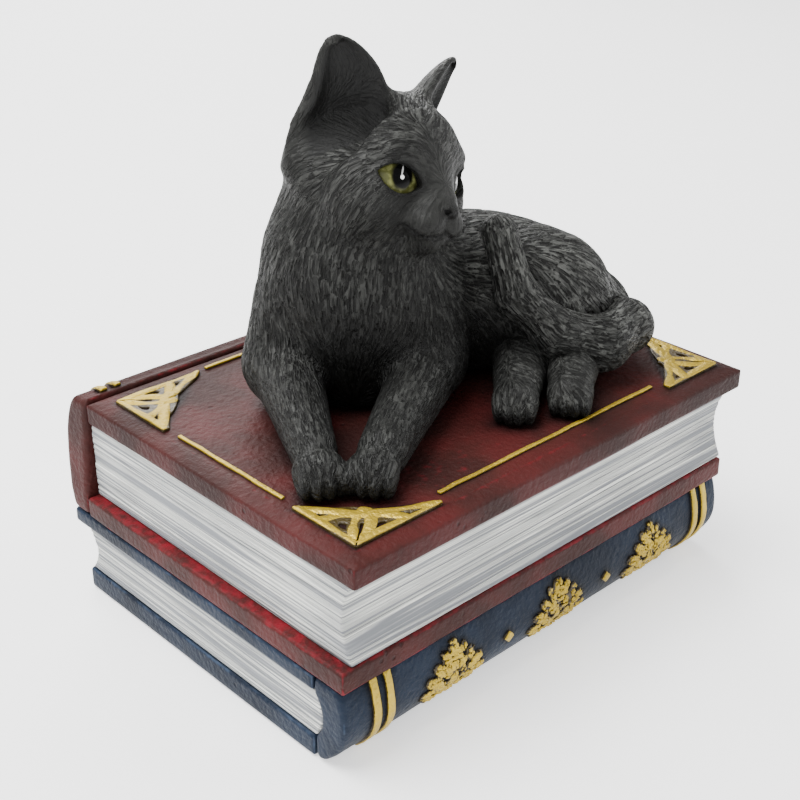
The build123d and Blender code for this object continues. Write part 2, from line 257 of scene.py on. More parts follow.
# ------------------------------------------------------------------ skinning a field
def skin(field, low, high, cell):
    """Points and quads of a field's surface, one point to each cell that it crosses."""
    cell = np.broadcast_to(np.asarray(cell, np.float32), 3)
    axes = [np.arange(a, b + c, c, dtype=np.float32) for a, b, c in zip(low, high, cell)]
    sheet_y, sheet_z = np.meshgrid(axes[1], axes[2], indexing="ij")
    sheets = [field(np.stack([np.full_like(sheet_y, x), sheet_y, sheet_z], -1)) for x in axes[0]]
    value = np.stack(sheets).astype(np.float32)
    inside = value < 0
    cells = [len(a) - 1 for a in axes]
    total = np.zeros((*cells, 3), np.float32)
    count = np.zeros(cells, np.float32)
    for axis in range(3):
        side_a, side_b = [other for other in range(3) if other != axis]
        for m, n in np.ndindex(2, 2):
            start = [0, 0, 0]
            start[side_a], start[side_b] = m, n
            end = list(start)
            end[axis] = 1
            here = value[tuple(slice(o, o + c) for o, c in zip(start, cells))]
            there = value[tuple(slice(o, o + c) for o, c in zip(end, cells))]
            crossed = (here < 0) != (there < 0)
            point = np.zeros((*cells, 3), np.float32)
            point[..., axis] = np.where(crossed, here / np.where(crossed, here - there, 1), 0)
            point[..., side_a] = m
            point[..., side_b] = n
            total += point * crossed[..., None]
            count += crossed
    active = count > 0
    index = np.full(cells, -1, np.int64)
    index[active] = np.arange(active.sum())
    corner = np.stack(np.nonzero(active), -1)
    points = (corner + total[active] / count[active][:, None]) * cell + [a[0] for a in axes]
    quads = []
    for axis, (u, v) in enumerate(((1, 2), (2, 0), (0, 1))):
        before = np.take(inside, range(inside.shape[axis] - 1), axis)
        after = np.take(inside, range(1, inside.shape[axis]), axis)
        edge = np.stack(np.nonzero(before != after), -1)
        edge = edge[(edge[:, u] > 0) & (edge[:, v] > 0) & (edge[:, u] < cells[u]) & (edge[:, v] < cells[v])]
        corners = []
        for du, dv in ((-1, -1), (0, -1), (0, 0), (-1, 0)):
            place = edge.copy()
            place[:, u] += du
            place[:, v] += dv
            corners.append(index[tuple(place.T)])
        quad = np.stack(corners, -1)
        outward = before[tuple(edge.T)]
        quad[~outward] = quad[~outward][:, ::-1]
        quads.append(quad)
    return points.astype(np.float32), np.concatenate(quads)


def halve(points, quads):
    """Each quad split in four."""
    edges = np.sort(np.stack([quads, np.roll(quads, -1, 1)], -1).reshape(-1, 2), 1)
    unique, place = np.unique(edges, axis=0, return_inverse=True)
    middle = len(points) + place.reshape(-1, 4)
    centre = (len(points) + len(unique) + np.arange(len(quads)))[:, None]
    grown = np.concatenate([points, points[unique].mean(1), points[quads].mean(1)])
    parts = []
    for k in range(4):
        parts.append(np.concatenate([quads[:, [k]], middle[:, [k]], centre, middle[:, [k - 1]]], 1))
    return grown.astype(np.float32), np.concatenate(parts)


def slope(field, points, reach=0.06):
    """The field's gradient."""
    sides = []
    for axis in range(3):
        step = np.zeros(3, np.float32)
        step[axis] = reach
        sides.append(field(points + step) - field(points - step))
    return np.stack(sides, -1) / (2 * reach)


def settle(field, points, rounds, most):
    """Points moved onto the field's surface, and the way out there."""
    for _ in range(rounds):
        way = slope(field, points)
        move = field(points)[:, None] * way / np.maximum((way * way).sum(-1), 0.05)[:, None]
        points = points - np.clip(move, -most, most)
    return points, unit(slope(field, points))


def new_piece(name, points, quads, marks, origin=(0, 0, 0)):
    """A Blender object from points and quads in millimetres, with its painting marks."""
    mesh = bpy.data.meshes.new(name)
    places = ((points + np.asarray(origin)) * MM).astype(np.float32)
    mesh.vertices.add(len(points))
    mesh.vertices.foreach_set("co", places.ravel())
    mesh.loops.add(quads.size)
    mesh.loops.foreach_set("vertex_index", quads.ravel().astype(np.int32))
    mesh.polygons.add(len(quads))
    mesh.polygons.foreach_set("loop_start", np.arange(0, quads.size, 4, dtype=np.int32))
    mesh.polygons.foreach_set("use_smooth", np.ones(len(quads), bool))
    mesh.update(calc_edges=True)
    mesh.validate()
    for label, values in marks.items():
        values = np.asarray(values, np.float32)
        kind, key = ("FLOAT_VECTOR", "vector") if values.ndim == 2 else ("FLOAT", "value")
        mesh.attributes.new(label, kind, "POINT").data.foreach_set(key, values.ravel())
    piece = bpy.data.objects.new(name, mesh)
    bpy.context.scene.collection.objects.link(piece)
    return piece


def sculpt(name, field, low, high, cell, paint, origin=(0, 0, 0), halved=False):
    """A piece skinned from a field; paint gives the outward moves and the marks."""
    margin = 1.5 * np.max(cell)
    points, quads = skin(field, np.asarray(low) - margin, np.asarray(high) + margin, cell)
    most = np.max(cell)
    if halved:
        points, _ = settle(field, points, 1, most)
        points, quads = halve(points, quads)
    points, way = settle(field, points, 2, most)
    move, marks = paint(points, way)
    return new_piece(name, points + way * move[:, None], quads, marks, origin)


def hand_over(piece, body, slot, material, *nodes):
    """Gives a piece its material and its body, and hides the CAD nodes that it stands for."""
    piece.data.materials.append(material)
    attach(piece, body)
    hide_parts(*nodes)


# ------------------------------------------------------------------ the cat's fields
HEAD = np.array([62.7, 59.6, 57.2], np.float32)
HEAD_TURN = rotation(6.2, -6.4, 16.6)
EYE = np.array([10.5, -15.3, -0.7], np.float32)
EYE_WAY = unit(np.array([0.42, -0.9, 0.08], np.float32))
EYE_SLANT = radians(13)
EYE_HALF_WIDTH = 5.7
EYE_HALF_HEIGHT = 3.25
EYE_RADIUS = 8.0
EYE_SUNK = 7.6  # eyeball's centre behind the lids
EYE_THICK = 4.5


def eye_axes():
    """Across and up, in the plane of the lids, with the outer corner the higher."""
    out = unit(np.array([-EYE_WAY[1], EYE_WAY[0], 0], np.float32))
    up = np.cross(EYE_WAY, out)
    return out * cos(EYE_SLANT) + up * sin(EYE_SLANT), up * cos(EYE_SLANT) - out * sin(EYE_SLANT)


EYE_OUT, EYE_UP = eye_axes()


def head_space(p):
    """Points as the head sees them, with both sides folded onto one."""
    q = (p - HEAD) @ HEAD_TURN
    return np.stack([np.abs(q[..., 0]), q[..., 1], q[..., 2]], -1)


def lids(q):
    """The almond between the eyelids, as a field across the eye."""
    across, up = (q - EYE) @ EYE_OUT, (q - EYE) @ EYE_UP
    radius = (EYE_HALF_WIDTH**2 + EYE_HALF_HEIGHT**2) / (2 * EYE_HALF_HEIGHT)
    offset = radius - EYE_HALF_HEIGHT
    return np.maximum(np.hypot(across, up + offset), np.hypot(across, up - offset)) - radius


EAR_ROOT = (13.2, 2.5, 11.5)
EAR_TIP = 20.8
EAR_BOW = 1.9
EAR_LEAN = rotation(0, 13, 25)
EAR_TURN = EAR_LEAN @ rotation(33, 0, 0)


def scoop(e, tip, wide, thick, middle, forward):
    """A shape like an ear, its width and thickness growing as the root of the way down from its tip."""
    grow = np.sqrt(np.maximum(tip - e[..., 2], 0.02))
    bow = EAR_BOW * np.sin(pi * np.clip((tip - e[..., 2]) / tip, 0, 1))
    across = (e[..., 0] - middle + bow) / (wide * grow)
    through = (e[..., 1] + forward * grow) / (thick * grow)
    d = (np.hypot(across, through) - 1) * thick * grow
    return np.maximum(d, (e[..., 2] - tip) * 0.8)


def ear_shell(q):
    """An ear, its cup, and how soft the cup's edge is."""
    e = (q - np.asarray(EAR_ROOT, np.float32)) @ EAR_TURN
    outer = scoop(e, EAR_TIP, 2.65, 1.2, 0.0, 0.0)
    outer = overlap(outer, -13 - e[..., 2], 3)
    cup = scoop(e, EAR_TIP - 1.6, 2.3, 1.2, -1.0, 1.0)
    reach = e[..., 1] + 0.8 * np.maximum(2.5 - e[..., 2], 0)
    cup = overlap(cup, reach - 1.2, 2)
    return outer, cup, 1.2 + 4 * np.clip((5 - e[..., 2]) / 8, 0, 1)


MOUTH = (
    (0, -22.2, -12.3), (2.0, -22.1, -13.4), (4.2, -21.3, -13.6), (6.6, -19.0, -12.6), (8.4, -15.5, -11.6),
)
NOSE = np.array([0, -23.6, -7.3], np.float32)


def mouth_line(q, radius):
    """A thin line between the lips."""
    parts = [limb(q, start, end, radius, radius) for start, end in zip(MOUTH, MOUTH[1:])]
    return np.minimum.reduce(parts)


def head_field(p):
    q = head_space(p)
    d = ball(q, (0, 2.5, 2.5), (20.5, 19.5, 17.5))
    d = melt(d, ball(q, (9.5, -4.5, -6.5), (11.0, 12.0, 10.0)), 6)  # cheek
    d = melt(d, ball(q, (0, -9.0, 6.5), (12.5, 9.5, 9.5)), 5)  # forehead
    d = melt(d, limb(q, (0, -10, 3), (0, -19.0, -5.5), 7.0, 4.6), 5)  # bridge of the nose
    d = melt(d, ball(q, (3.4, -18.6, -10.3), (4.6, 4.8, 4.2)), 3)  # whisker pad
    d = melt(d, ball(q, (0, -16.2, -14.6), (4.6, 5.0, 3.4)), 2.5)  # chin
    d = melt(d, ball(q, (0, -22.9, -7.0), (2.7, 2.0, 1.7)), 0.9)  # nose
    d = melt(d, ball(q, (8.4, -13.2, 5.4), (5.4, 3.0, 2.0)), 4)  # brow
    d = carve(d, limb(q, (0, -23.3, -8.8), (0, -22.2, -12.2), 0.35, 0.35), 0.7)  # lip cleft
    d = melt(d, ball(q, (0, -19.6, -12.6), (2.6, 2.2, 2.2)), 2)  # lips
    d = carve(d, mouth_line(q, 0.4), 0.7)
    d = carve(d, ball(q, (1.8, -23.8, -7.3), (0.8, 1.0, 0.55)), 0.4)  # nostril
    outer, cup, soft = ear_shell(q)
    d = melt(d, outer, 4.0)
    d = carve(d, cup, soft)
    opening = lids(q)
    depth = (q - EYE) @ EYE_WAY
    d = d - 0.45 * bell(opening - 0.3, 0.7) * bell(depth, 5)  # eyelids
    return carve(d, np.maximum(opening, -EYE_THICK - depth), 0.5)


RIGHT_LEG = (
    ((44, 71, 24), (38.5, 70, 11), 10.5, 10.2),
    ((37, 67, 9.3), (18.5, 34.5, 6.4), 8.8, 5.5),
)
LEFT_LEG = (
    ((70, 54, 24), (68, 47, 11), 12, 9.5),
    ((66, 45.5, 9.0), (30, 23.5, 6.6), 8.8, 6.0),
)
FRONT_PAWS = (((15.2, 28.6, 5.0), (-0.50, -0.86)), ((24.5, 20.8, 5.0), (-0.80, -0.60)))
HIND_PAWS = {
    "near": (((73.5, 22.2, 4.6), (91, 36, 6.5)), (-0.79, -0.61)),
    "far": (((86.6, 15.6, 4.6), (102.5, 28.5, 6.5)), (-0.77, -0.64)),
}
HIND_PAW_SIZE = 0.92
TOE_SPREAD = 2.75
TOE_PLACES = (-1.5, -0.5, 0.5, 1.5)
TOE_CURVE = 0.55  # how much further back the outer toes are


def paw_axes(way):
    """Ahead and aside on the flat, for a paw that points that way."""
    return np.array([way[0], way[1], 0], np.float32), np.array([-way[1], way[0], 0], np.float32)


def toes(p, centre, way, size):
    """A paw with four toes and the gaps between them."""
    ahead, aside = paw_axes(way)
    centre = np.asarray(centre, np.float32)
    turn = np.stack([aside, ahead, [0, 0, 1]], -1).astype(np.float32)
    parts = []
    for place in TOE_PLACES:
        reach = (4.0 - TOE_CURVE * place * place) * size
        tip = centre + aside * place * TOE_SPREAD * size + ahead * reach
        tip[2] = 3.6 * size
        parts.append(ball(p, tip, np.array((1.75, 3.6, 3.5)) * size, turn))
    palm = ball(p, centre, np.array((6.1, 6.0, 5.2)) * size, turn)
    return melt(palm, run_together(parts, 0.5), 1.1)


def leg_field(p, joints):
    return run_together([limb(p, *joint) for joint in joints], 4)


def body_field(p):
    d = ball(p, (57, 62.5, 24), (22.5, 20.8, 30), rotation(-44, 0, 0))  # chest
    d = melt(d, limb(p, (56.5, 66.5, 36), (60.5, 65, 54), 19.0, 17.5), 10)  # neck
    d = melt(d, ball(p, (79, 65.5, 18.8), (33, 22, 21.3), rotation(-12, 0, 0)), 12)  # ribs
    d = melt(d, ball(p, (101, 55, 16.5), (25.5, 23, 20), rotation(-20, 0, 0)), 10)  # loin
    d = melt(d, ball(p, (104, 44, 17), (21, 17, 19), rotation(-30, 0, 0)), 3.5)  # haunch
    d = melt(d, ball(p, (122, 40, 9), (12, 12, 12)), 6)  # rump
    for leg in (RIGHT_LEG, LEFT_LEG):
        d = melt(d, leg_field(p, leg), 4)
    for centre, way in FRONT_PAWS:
        d = melt(d, toes(p, centre, way, 1.0), 1.5)
    return d


def grounded(d, p):
    """Cut off just under the board's face."""
    return np.maximum(d, -0.4 - p[..., 2])


NECK_SEAM = np.array([60.5, 62.0, 43.5], np.float32)
NECK_WAY = unit(np.array([-0.05, 0.24, -0.97], np.float32))
SEAM_OVERLAP = 1.6


def cat_field(p):
    return grounded(melt(body_field(p), head_field(p), 4.5), p)


def head_part(p):
    below = (p - NECK_SEAM) @ NECK_WAY
    return overlap(cat_field(p), below - SEAM_OVERLAP, 0.6)


def body_part(p):
    above = (NECK_SEAM - p) @ NECK_WAY
    tucked = 0.3 * np.clip((above + SEAM_OVERLAP) / (2 * SEAM_OVERLAP), 0, 1)
    return overlap(cat_field(p) + tucked, above - SEAM_OVERLAP, 0.6)


TAIL = (
    (124, 38, 10), (120, 25, 10), (106, 21.5, 10.5), (94, 28, 15), (87.3, 35.5, 25), (87, 42, 40.5),
)
TAIL_RADII = (6.5, 6.8, 6.8, 6.0, 5.0, 4.4)


def tail_field(p):
    parts = [limb(p, *ends) for ends in zip(TAIL, TAIL[1:], TAIL_RADII, TAIL_RADII[1:])]
    return grounded(run_together(parts, 3), p)


def hind_paw_field(which):
    ((start, end), way) = HIND_PAWS[which]

    def field(p):
        d = limb(p, start, end, 5.2, 8.0)
        return grounded(melt(d, toes(p, start, way, HIND_PAW_SIZE), 1.5), p)

    return field


# ------------------------------------------------------------------ the cat's fur
# Place, way that the hair lies, and how far round the place it holds.
COMBS = (
    ((47, 47, 40), (-0.2, -0.2, -1), 12),
    ((42, 50, 18), (-0.4, -0.4, -0.8), 12),
    ((38, 78, 44), (0.1, 0.3, -1), 12),
    ((72, 84, 42), (0.6, 0.3, -0.7), 12),
    ((34, 76, 20), (-0.3, -0.3, -0.9), 10),
    ((26, 50, 9), (-0.5, -0.86, -0.1), 11),
    ((14, 27, 6), (-0.5, -0.86, -0.3), 8),
    ((48, 34, 9), (-0.85, -0.52, -0.1), 11),
    ((24, 19, 6), (-0.8, -0.6, -0.3), 8),
    ((68, 44, 26), (0.1, -0.3, -0.95), 9),
    ((78, 44, 30), (0.9, -0.25, -0.3), 9),
    ((84, 48, 36), (1.0, -0.1, -0.1), 10),
    ((82, 42, 10), (0.35, -0.3, -0.9), 9),
    ((85, 66, 40), (1.0, -0.15, 0.0), 14),
    ((92, 34, 24), (0.35, -0.3, -0.9), 8),
    ((100, 32, 24), (0.5, -0.2, -0.85), 8),
    ((108, 34, 30), (0.75, -0.2, -0.65), 9),
    ((116, 36, 20), (0.8, -0.3, -0.55), 8),
    ((112, 50, 34), (0.95, -0.3, -0.25), 10),
    ((128, 44, 12), (0.7, -0.5, -0.6), 9),
    ((70, 88, 20), (0.9, 0.1, -0.4), 12),
    ((100, 76, 18), (0.9, -0.1, -0.45), 14),
    ((66, 84, 66), (0.15, 0.6, -0.8), 10),
)


def patch(p, place, spread, power=2):
    """A soft round spot about a place."""
    return bell(length(p - np.asarray(place, np.float32)), spread, power)


def along_surface(flow, way):
    """A flow with what points out of the surface taken away."""
    return unit(flow - way * (flow * way).sum(-1)[..., None])


def combed(p, way, nose_pull):
    """The way the hair lies at each point, along the surface."""
    flow = np.zeros_like(p)
    for place, lie, spread in COMBS:
        weight = patch(p, place, spread) + 1e-6
        flow = flow + weight[..., None] * unit(np.asarray(lie, np.float32))
    nose = HEAD + HEAD_TURN @ np.array([0, -21, -5], np.float32)
    pull = nose_pull * patch(p, HEAD, 24, 4)
    flow = unit(flow) * (1 - pull)[..., None] + unit(p - nose) * pull[..., None]
    return along_surface(flow, way)


def tail_flow(p, way):
    """Hair along the tail, towards its tip."""
    best = np.full(len(p), 1e9, np.float32)
    flow = np.zeros_like(p)
    for start, end in zip(TAIL, TAIL[1:]):
        near = limb(p, start, end, 0, 0)
        flow[near < best] = unit(np.subtract(end, start).astype(np.float32))
        best = np.minimum(best, near)
    return along_surface(flow, way)


def fur(points, flow):
    """Carved locks: rounded ridges with narrow grooves, and finer hairs on them."""
    depth = bpy.context.scene.keepsake_sizes.fur_depth
    lock = strokes(points, flow, 1.2, 4.0)
    hair = strokes(points + 31.7, flow, 0.95, 2.6)
    tuft = strokes(points + 67.1, flow, 2.6, 3.6)
    height = 0.5 - bell(lock, 0.17) - 0.45 * bell(hair, 0.16) + 0.25 * np.tanh(tuft * 1.6)
    return depth * height, np.clip(0.5 + 0.6 * height, 0, 1)


def smooth_face(p):
    """Where the head has hardly any carving: the face and inside the ears."""
    q = head_space(p)
    face = patch(q, (4, -19, -5), 13.5, 4)
    outer, cup, _ = ear_shell(q)
    face = np.maximum(face, 0.75 * np.clip(1 - (outer + 0.3) / 1.5, 0, 1))
    inside = np.clip(1 - np.maximum(cup - 0.4, 0) / 0.8, 0, 1) * (outer < 0.4)
    return np.clip(face + inside, 0, 1), inside


# Place, how far round it, and how much more or less grey there: dry brushing, with painted top light on the
# back and head and painted shade low at the front.
BRUSH_AND_LIGHT = (
    ((102, 46, 38), 30, 0.75),
    ((124, 34, 14), 16, 0.3),
    ((80, 18, 5), 14, 0.3),
    ((64, 60, 82), 18, 0.3),
    ((78, 44, 16), 16, -0.5),
    ((44, 46, 8), 16, -0.5),
    ((22, 30, 4), 22, -0.16),
    ((92, 34, 10), 9, -0.4),
)


def grey_brush_and_light(p, way):
    """Where grey goes: dry brushing on the upper and hind parts most, and more on faces that look up, as
    painted top light.
    """
    # Painted top light: more grey on faces that look up.
    brush_and_light = 0.26 + 0.3 * np.clip(way[:, 2], 0, 1)
    for place, spread, share in BRUSH_AND_LIGHT:
        brush_and_light = brush_and_light + share * patch(p, place, spread)
    return np.clip(brush_and_light, 0.04, 1)


def board_contact_shade(p):
    """How near a point is to the board, for painted shade where the cat meets it."""
    return np.exp(-np.maximum(p[:, 2], 0) / 1.6)


def toe_pits(p, centre, way, size):
    """Dark claw pits at the tips of the toes."""
    ahead, aside = paw_axes(way)
    total = np.zeros(len(p), np.float32)
    for place in TOE_PLACES:
        reach = (7.4 - TOE_CURVE * place * place) * size
        tip = np.asarray(centre, np.float32) + aside * place * TOE_SPREAD * size + ahead * reach
        tip[2] = 3.4 * size
        total += bell(length((p - tip) * (1, 1, 0.8)), 1.1)
    return total


def paint_cat(points, way):
    bare, inside_ear = smooth_face(points)
    flow = combed(points, way, 1.0)
    leg = np.clip(patch(points, (26, 45, 6), 20) + patch(points, (44, 32, 6), 22), 0, 1)
    strength = (1 - 0.95 * bare) * (1 - 0.55 * leg) * (1 - 0.62 * patch(points, HEAD, 27, 6))
    move, lift = fur(points, flow)
    lift = 0.62 + (lift - 0.62) * (0.35 + 0.65 * strength)
    q = head_space(points)
    rim = bell(lids(q) - 0.2, 0.8) * patch(q, EYE, 9, 4)
    mouth = bell(mouth_line(q, 0.3), 0.7)
    nose = bell(length((q - NOSE) / (3.4, 3.4, 2.2)), 1, 4)
    # Dark: painted shade near the board, in the ear's cup and along the mouth's groove; the eye rims and nose
    # are painted dark.
    dark = np.clip(board_contact_shade(points) + 0.8 * inside_ear + 0.9 * rim + 0.8 * mouth + 0.85 * nose, 0, 1)
    for centre, way_ahead in FRONT_PAWS:
        dark = np.clip(dark + toe_pits(points, centre, way_ahead, 1.0), 0, 1)
    marks = {"lift": lift, "brush_and_light": grey_brush_and_light(points, way), "dark": dark, "lie": flow, "smooth": bare}
    return move * strength - 0.05, marks


def paint_tail(points, way):
    flow = tail_flow(points, way)
    move, lift = fur(points, flow)
    brush_and_light = np.clip(grey_brush_and_light(points, way) + 0.1, 0, 1)
    marks = {"lift": lift, "brush_and_light": brush_and_light, "dark": board_contact_shade(points), "lie": flow, "smooth": 0 * lift}
    return move * 0.8 - 0.05, marks


def paint_hind_paw(which):
    ((start, _), way_ahead) = HIND_PAWS[which]

    def paint(points, way):
        flow = combed(points, way, 0.0)
        move, lift = fur(points, flow)
        dark = np.clip(board_contact_shade(points) + toe_pits(points, start, way_ahead, HIND_PAW_SIZE), 0, 1)
        brush_and_light = grey_brush_and_light(points, way)
        return move * 0.5, {"lift": lift, "brush_and_light": brush_and_light, "dark": dark, "lie": flow, "smooth": 0 * lift + 0.4}

    return paint


def eye_piece(name, side):
    """An eyeball behind the lids, marked with its own across and up."""
    mirror = np.array([side, 1, 1], np.float32)
    centre = EYE - EYE_WAY * EYE_SUNK

    def own(p):
        return ((p - HEAD) @ HEAD_TURN) * mirror

    def field(p):
        q = own(p)
        behind = (EYE_SUNK - EYE_THICK) - (q - centre) @ EYE_WAY
        return overlap(ball(q, centre, (EYE_RADIUS,) * 3), behind, 0.4)

    def paint(points, way):
        q = own(points) - EYE
        return np.zeros(len(points)), {"across": q @ EYE_OUT, "up": q @ EYE_UP}

    middle = HEAD + HEAD_TURN @ (EYE * mirror)
    return sculpt(name, field, middle - 9, middle + 9, 0.42, paint, LID)


# ------------------------------------------------------------------ the books' fields
LOWER_FULLEST = NAVY_HIGH[2] * 0.58  # height at which the lower spine stands out furthest
LOWER_FOOT_IN, LOWER_HEAD_IN = 8.2, 2.0
CROWN = 14.0  # height of the curve at the top of the upper spine
CROWN_IN, UPPER_FOOT_IN = 5.76, 2.6
PAGE_ROUND = 2.4


def lower_face(z):
    """Where the lower spine's outer face is, at each height."""
    below = np.clip((LOWER_FULLEST - z) / (LOWER_FULLEST - NAVY_LOW[2]), 0, 1)
    above = np.clip((z - LOWER_FULLEST) / (NAVY_HIGH[2] - LOWER_FULLEST), 0, 1)
    return NAVY_LOW[1] + LOWER_FOOT_IN * below**2 + LOWER_HEAD_IN * above**2


def upper_face(z):
    """Where the upper spine's outer face is, at each height."""
    fullest = BACK_HIGH[2] - CROWN
    above = np.clip((z - fullest) / CROWN, 0, 1)
    below = np.clip((fullest - z) / (fullest - BACK_LOW[2]), 0, 1)
    crown = CROWN_IN * (1 - np.sqrt(np.maximum(1 - above**2, 0.0)))
    return BACK_HIGH[1] - crown - UPPER_FOOT_IN * below**2


def page_back(z):
    """The rounded back of the lower page block, where it meets its spine."""
    middle = (LOWLEAF_LOW[2] + LOWLEAF_HIGH[2]) / 2
    half = (LOWLEAF_HIGH[2] - LOWLEAF_LOW[2]) / 2
    return FOOT_LOW[1] - PAGE_ROUND * np.maximum(1 - ((z - middle) / half) ** 2, 0)


def cavity_field(p):
    return block(p, CAVITY_LOW, CAVITY_HIGH, 1.0)


def hollow_field(p):
    low = RIM_LOW + (RIM_WALL, RIM_WALL, -3)
    high = np.array([RIM_HIGH[0] - RIM_WALL, RIM_HIGH[1] - RIM_WALL, RIM_HIGH[2] + LID_HOLLOW])
    return block(p, low, high, 1.5)


def shrink(d, p, amount):
    """A slightly uneven face, never proud of the CAD's."""
    return d + amount * (0.5 + 0.5 * grain(p, 17.0))


BORDER = 4.6  # width of the top board's sloping border
BORDER_FALL = 0.9


def board_field(low, high, hollow=None):
    def field(p):
        edge = bpy.context.scene.keepsake_sizes.edge_round
        d = shrink(block(p, low, high, edge), p, 0.22)
        if high[2] > LEAF_HIGH[2]:
            side = -outside(p, low, high)[..., :2].max(-1)
            fall = BORDER_FALL * np.clip(1 - side / BORDER, 0, 1)
            d = overlap(d, p[..., 2] - high[2] + fall, 0.5)
        return carve(d, hollow(p), 0.5) if hollow else d

    return field


def lower_spine_field(p):
    z = p[..., 2]
    d = overlap(lower_face(z) - p[..., 1], p[..., 1] - page_back(z), 0.4)
    ends = outside(p[..., 0], NAVY_LOW[0], NAVY_HIGH[0])
    flat = outside(z, NAVY_LOW[2], NAVY_HIGH[2])
    return shrink(overlap(overlap(d, flat, 1.6), ends, 1.6), p, 0.15)


def upper_spine_field(p):
    x, y, z = np.moveaxis(p, -1, 0)
    d = overlap(y - upper_face(z), BACK_LOW[1] - y, 0.6)
    lean = np.clip((z - SEAT_HIGH[2]) / (BACK_HIGH[2] - SEAT_HIGH[2]), 0, 1)
    ends = np.maximum(x - BACK_HIGH[0], BACK_LOW[0] + (TOP_LOW[0] - BACK_LOW[0]) * lean - x)
    flat = outside(z, BACK_LOW[2], BACK_HIGH[2])
    left = (BACK_LOW[0] - 9, BACK_LOW[1] + 3.4, BACK_HIGH[2] + 0.5)
    groove = limb(p, left, (BACK_HIGH[0] + 9, *left[1:]), 1.1, 1.1)
    return shrink(carve(overlap(overlap(d, flat, 1.2), ends, 1.6), groove, 1.5), p, 0.15)


FORE_HOLLOW = 3.0


def fore_curve(z, low, high):
    """How far the fore-edge is hollowed, at each height."""
    return FORE_HOLLOW * np.maximum(1 - ((2 * z - low - high) / (high - low)) ** 2, 0)


def upper_pages_field(p):
    y, z = p[..., 1], p[..., 2]
    d = block(p, LEAF_LOW, LEAF_HIGH, 0.4)
    d = overlap(d, LEAF_LOW[1] + fore_curve(z, LEAF_LOW[2], LEAF_HIGH[2]) - y, 0.5)
    return carve(d, hollow_field(p), 0.5)


def lower_pages_field(p):
    y, z = p[..., 1], p[..., 2]
    d = block(p, LOWLEAF_LOW - (0, 4, 0), LOWLEAF_HIGH, 0.4)
    d = overlap(d, page_back(z) - y, 0.4)
    d = overlap(d, y - LOWLEAF_HIGH[1] + fore_curve(z, LOWLEAF_LOW[2], LOWLEAF_HIGH[2]), 0.5)
    return carve(d, cavity_field(p), 0.5)


# ------------------------------------------------------------------ painting the books
def paint_pages(points, way):
    """Long irregular grooves between the leaves, on the faces that show them."""
    depth = bpy.context.scene.keepsake_sizes.page_groove
    bend = 0.5 * grain(points, 26.0)
    sheet_points = np.stack([points[:, 0], points[:, 1], points[:, 2] + bend], -1)
    leaf = grain(sheet_points, (70, 70, 0.95))
    thick = grain(sheet_points + 50, (90, 90, 2.2))
    side = np.clip(1 - np.abs(way[:, 2]) * 3, 0, 1)
    groove = bell(leaf, 0.2) * side
    deep = bell(thick, 0.1) * side
    ends = np.minimum(points[:, 2] - points[:, 2].min(), points[:, 2].max() - points[:, 2])
    shade = np.exp(-ends / 1.0) * side
    marks = {"groove": np.clip(0.6 * groove + 0.8 * deep, 0, 1), "shade": shade}
    return -depth * (groove + 1.2 * deep) * (0.7 + 0.3 * thick), marks


def worn(points, low, high, width=0.6):
    """Wear along a board's edges, broken by noise."""
    edge = edge_distance(points, low, high)
    return np.clip(bell(edge, width) * (0.85 + 0.5 * grain(points, 6.0)), 0, 1)


def dents(points):
    """Small dents and tool marks in the cast, never outward."""
    spot = grain(points, 1.7)
    return -0.1 * np.clip(spot - 0.62, 0, 1) * 2.5 + 0.03 * (grain(points, 5.0) - 1)


def board_paint(low, high, shade=None, wear_more=None):
    def paint(points, way):
        wear = worn(points, low, high)
        if wear_more:
            wear = np.maximum(wear, wear_more(points, way))
        dark = shade(points, way) if shade else np.zeros(len(points))
        return dents(points), {"wear": wear, "shade": np.clip(dark, 0, 1)}

    return paint


def top_shade(points, way):
    """Painted shade under the cat and round the gilt work, and on the board's sides and underside."""
    top = np.clip(way[:, 2], 0, 1)
    q = (points - LID).astype(np.float32)
    # Painted shadow of the cat on the board.
    cat = np.minimum(body_field(q), tail_field(q))
    cat = np.minimum(cat, np.minimum(hind_paw_field("near")(q), hind_paw_field("far")(q)))
    dark = np.clip(0.95 * np.exp(-np.maximum(cat, 0) / 3.2), 0, 1)
    for corner in CORNERS.values():
        outline = ornament_outline(points[:, :2], corner)
        dark = np.maximum(dark, 0.85 * np.exp(-np.maximum(outline, 0) / 1.3))
    for node in GILT_LINES:
        low, high = extent(node)
        gap = block(points, low - (0, 0, 1), high, 0.2)
        dark = np.maximum(dark, 0.6 * np.exp(-np.maximum(gap, 0) / 0.9))
    # Painted shade on the board's underside and, less, on its sides.
    under = (way[:, 2] < -0.5) * 0.6
    side = 0.35 * np.clip(1 - np.abs(way[:, 2]) * 2, 0, 1)
    return dark * top + under + side


def top_glow(points, way):
    """Bright red showing through beside the near paws."""
    q = points - LID
    inner = bell(edge_distance(points, TOP_LOW, TOP_HIGH) - BORDER, 0.6)
    return 0.35 * patch(q, (38, 20, 0), 14) + 0.25 * patch(q, (62, 14, 0), 13) + 0.4 * inner


def seat_glow(points, way):
    """The glossy red strip beside the pages."""
    outside = np.maximum(np.abs(points[:, 0]) - (LEAF_HIGH[0] - 2.5), LEAF_LOW[1] + 2.2 - points[:, 1])
    return 0.62 * np.clip(outside, 0, 1) * np.clip(way[:, 2], 0, 1)


def spine_shade(book):
    def shade(points, way):
        dark = np.zeros(len(points))
        for node in GILT_WORK[book]:
            gap = relief_maker(node)(book, node)(points)
            dark = np.maximum(dark, 0.95 * np.exp(-np.maximum(gap, 0) / 1.1))
        return dark

    return shade


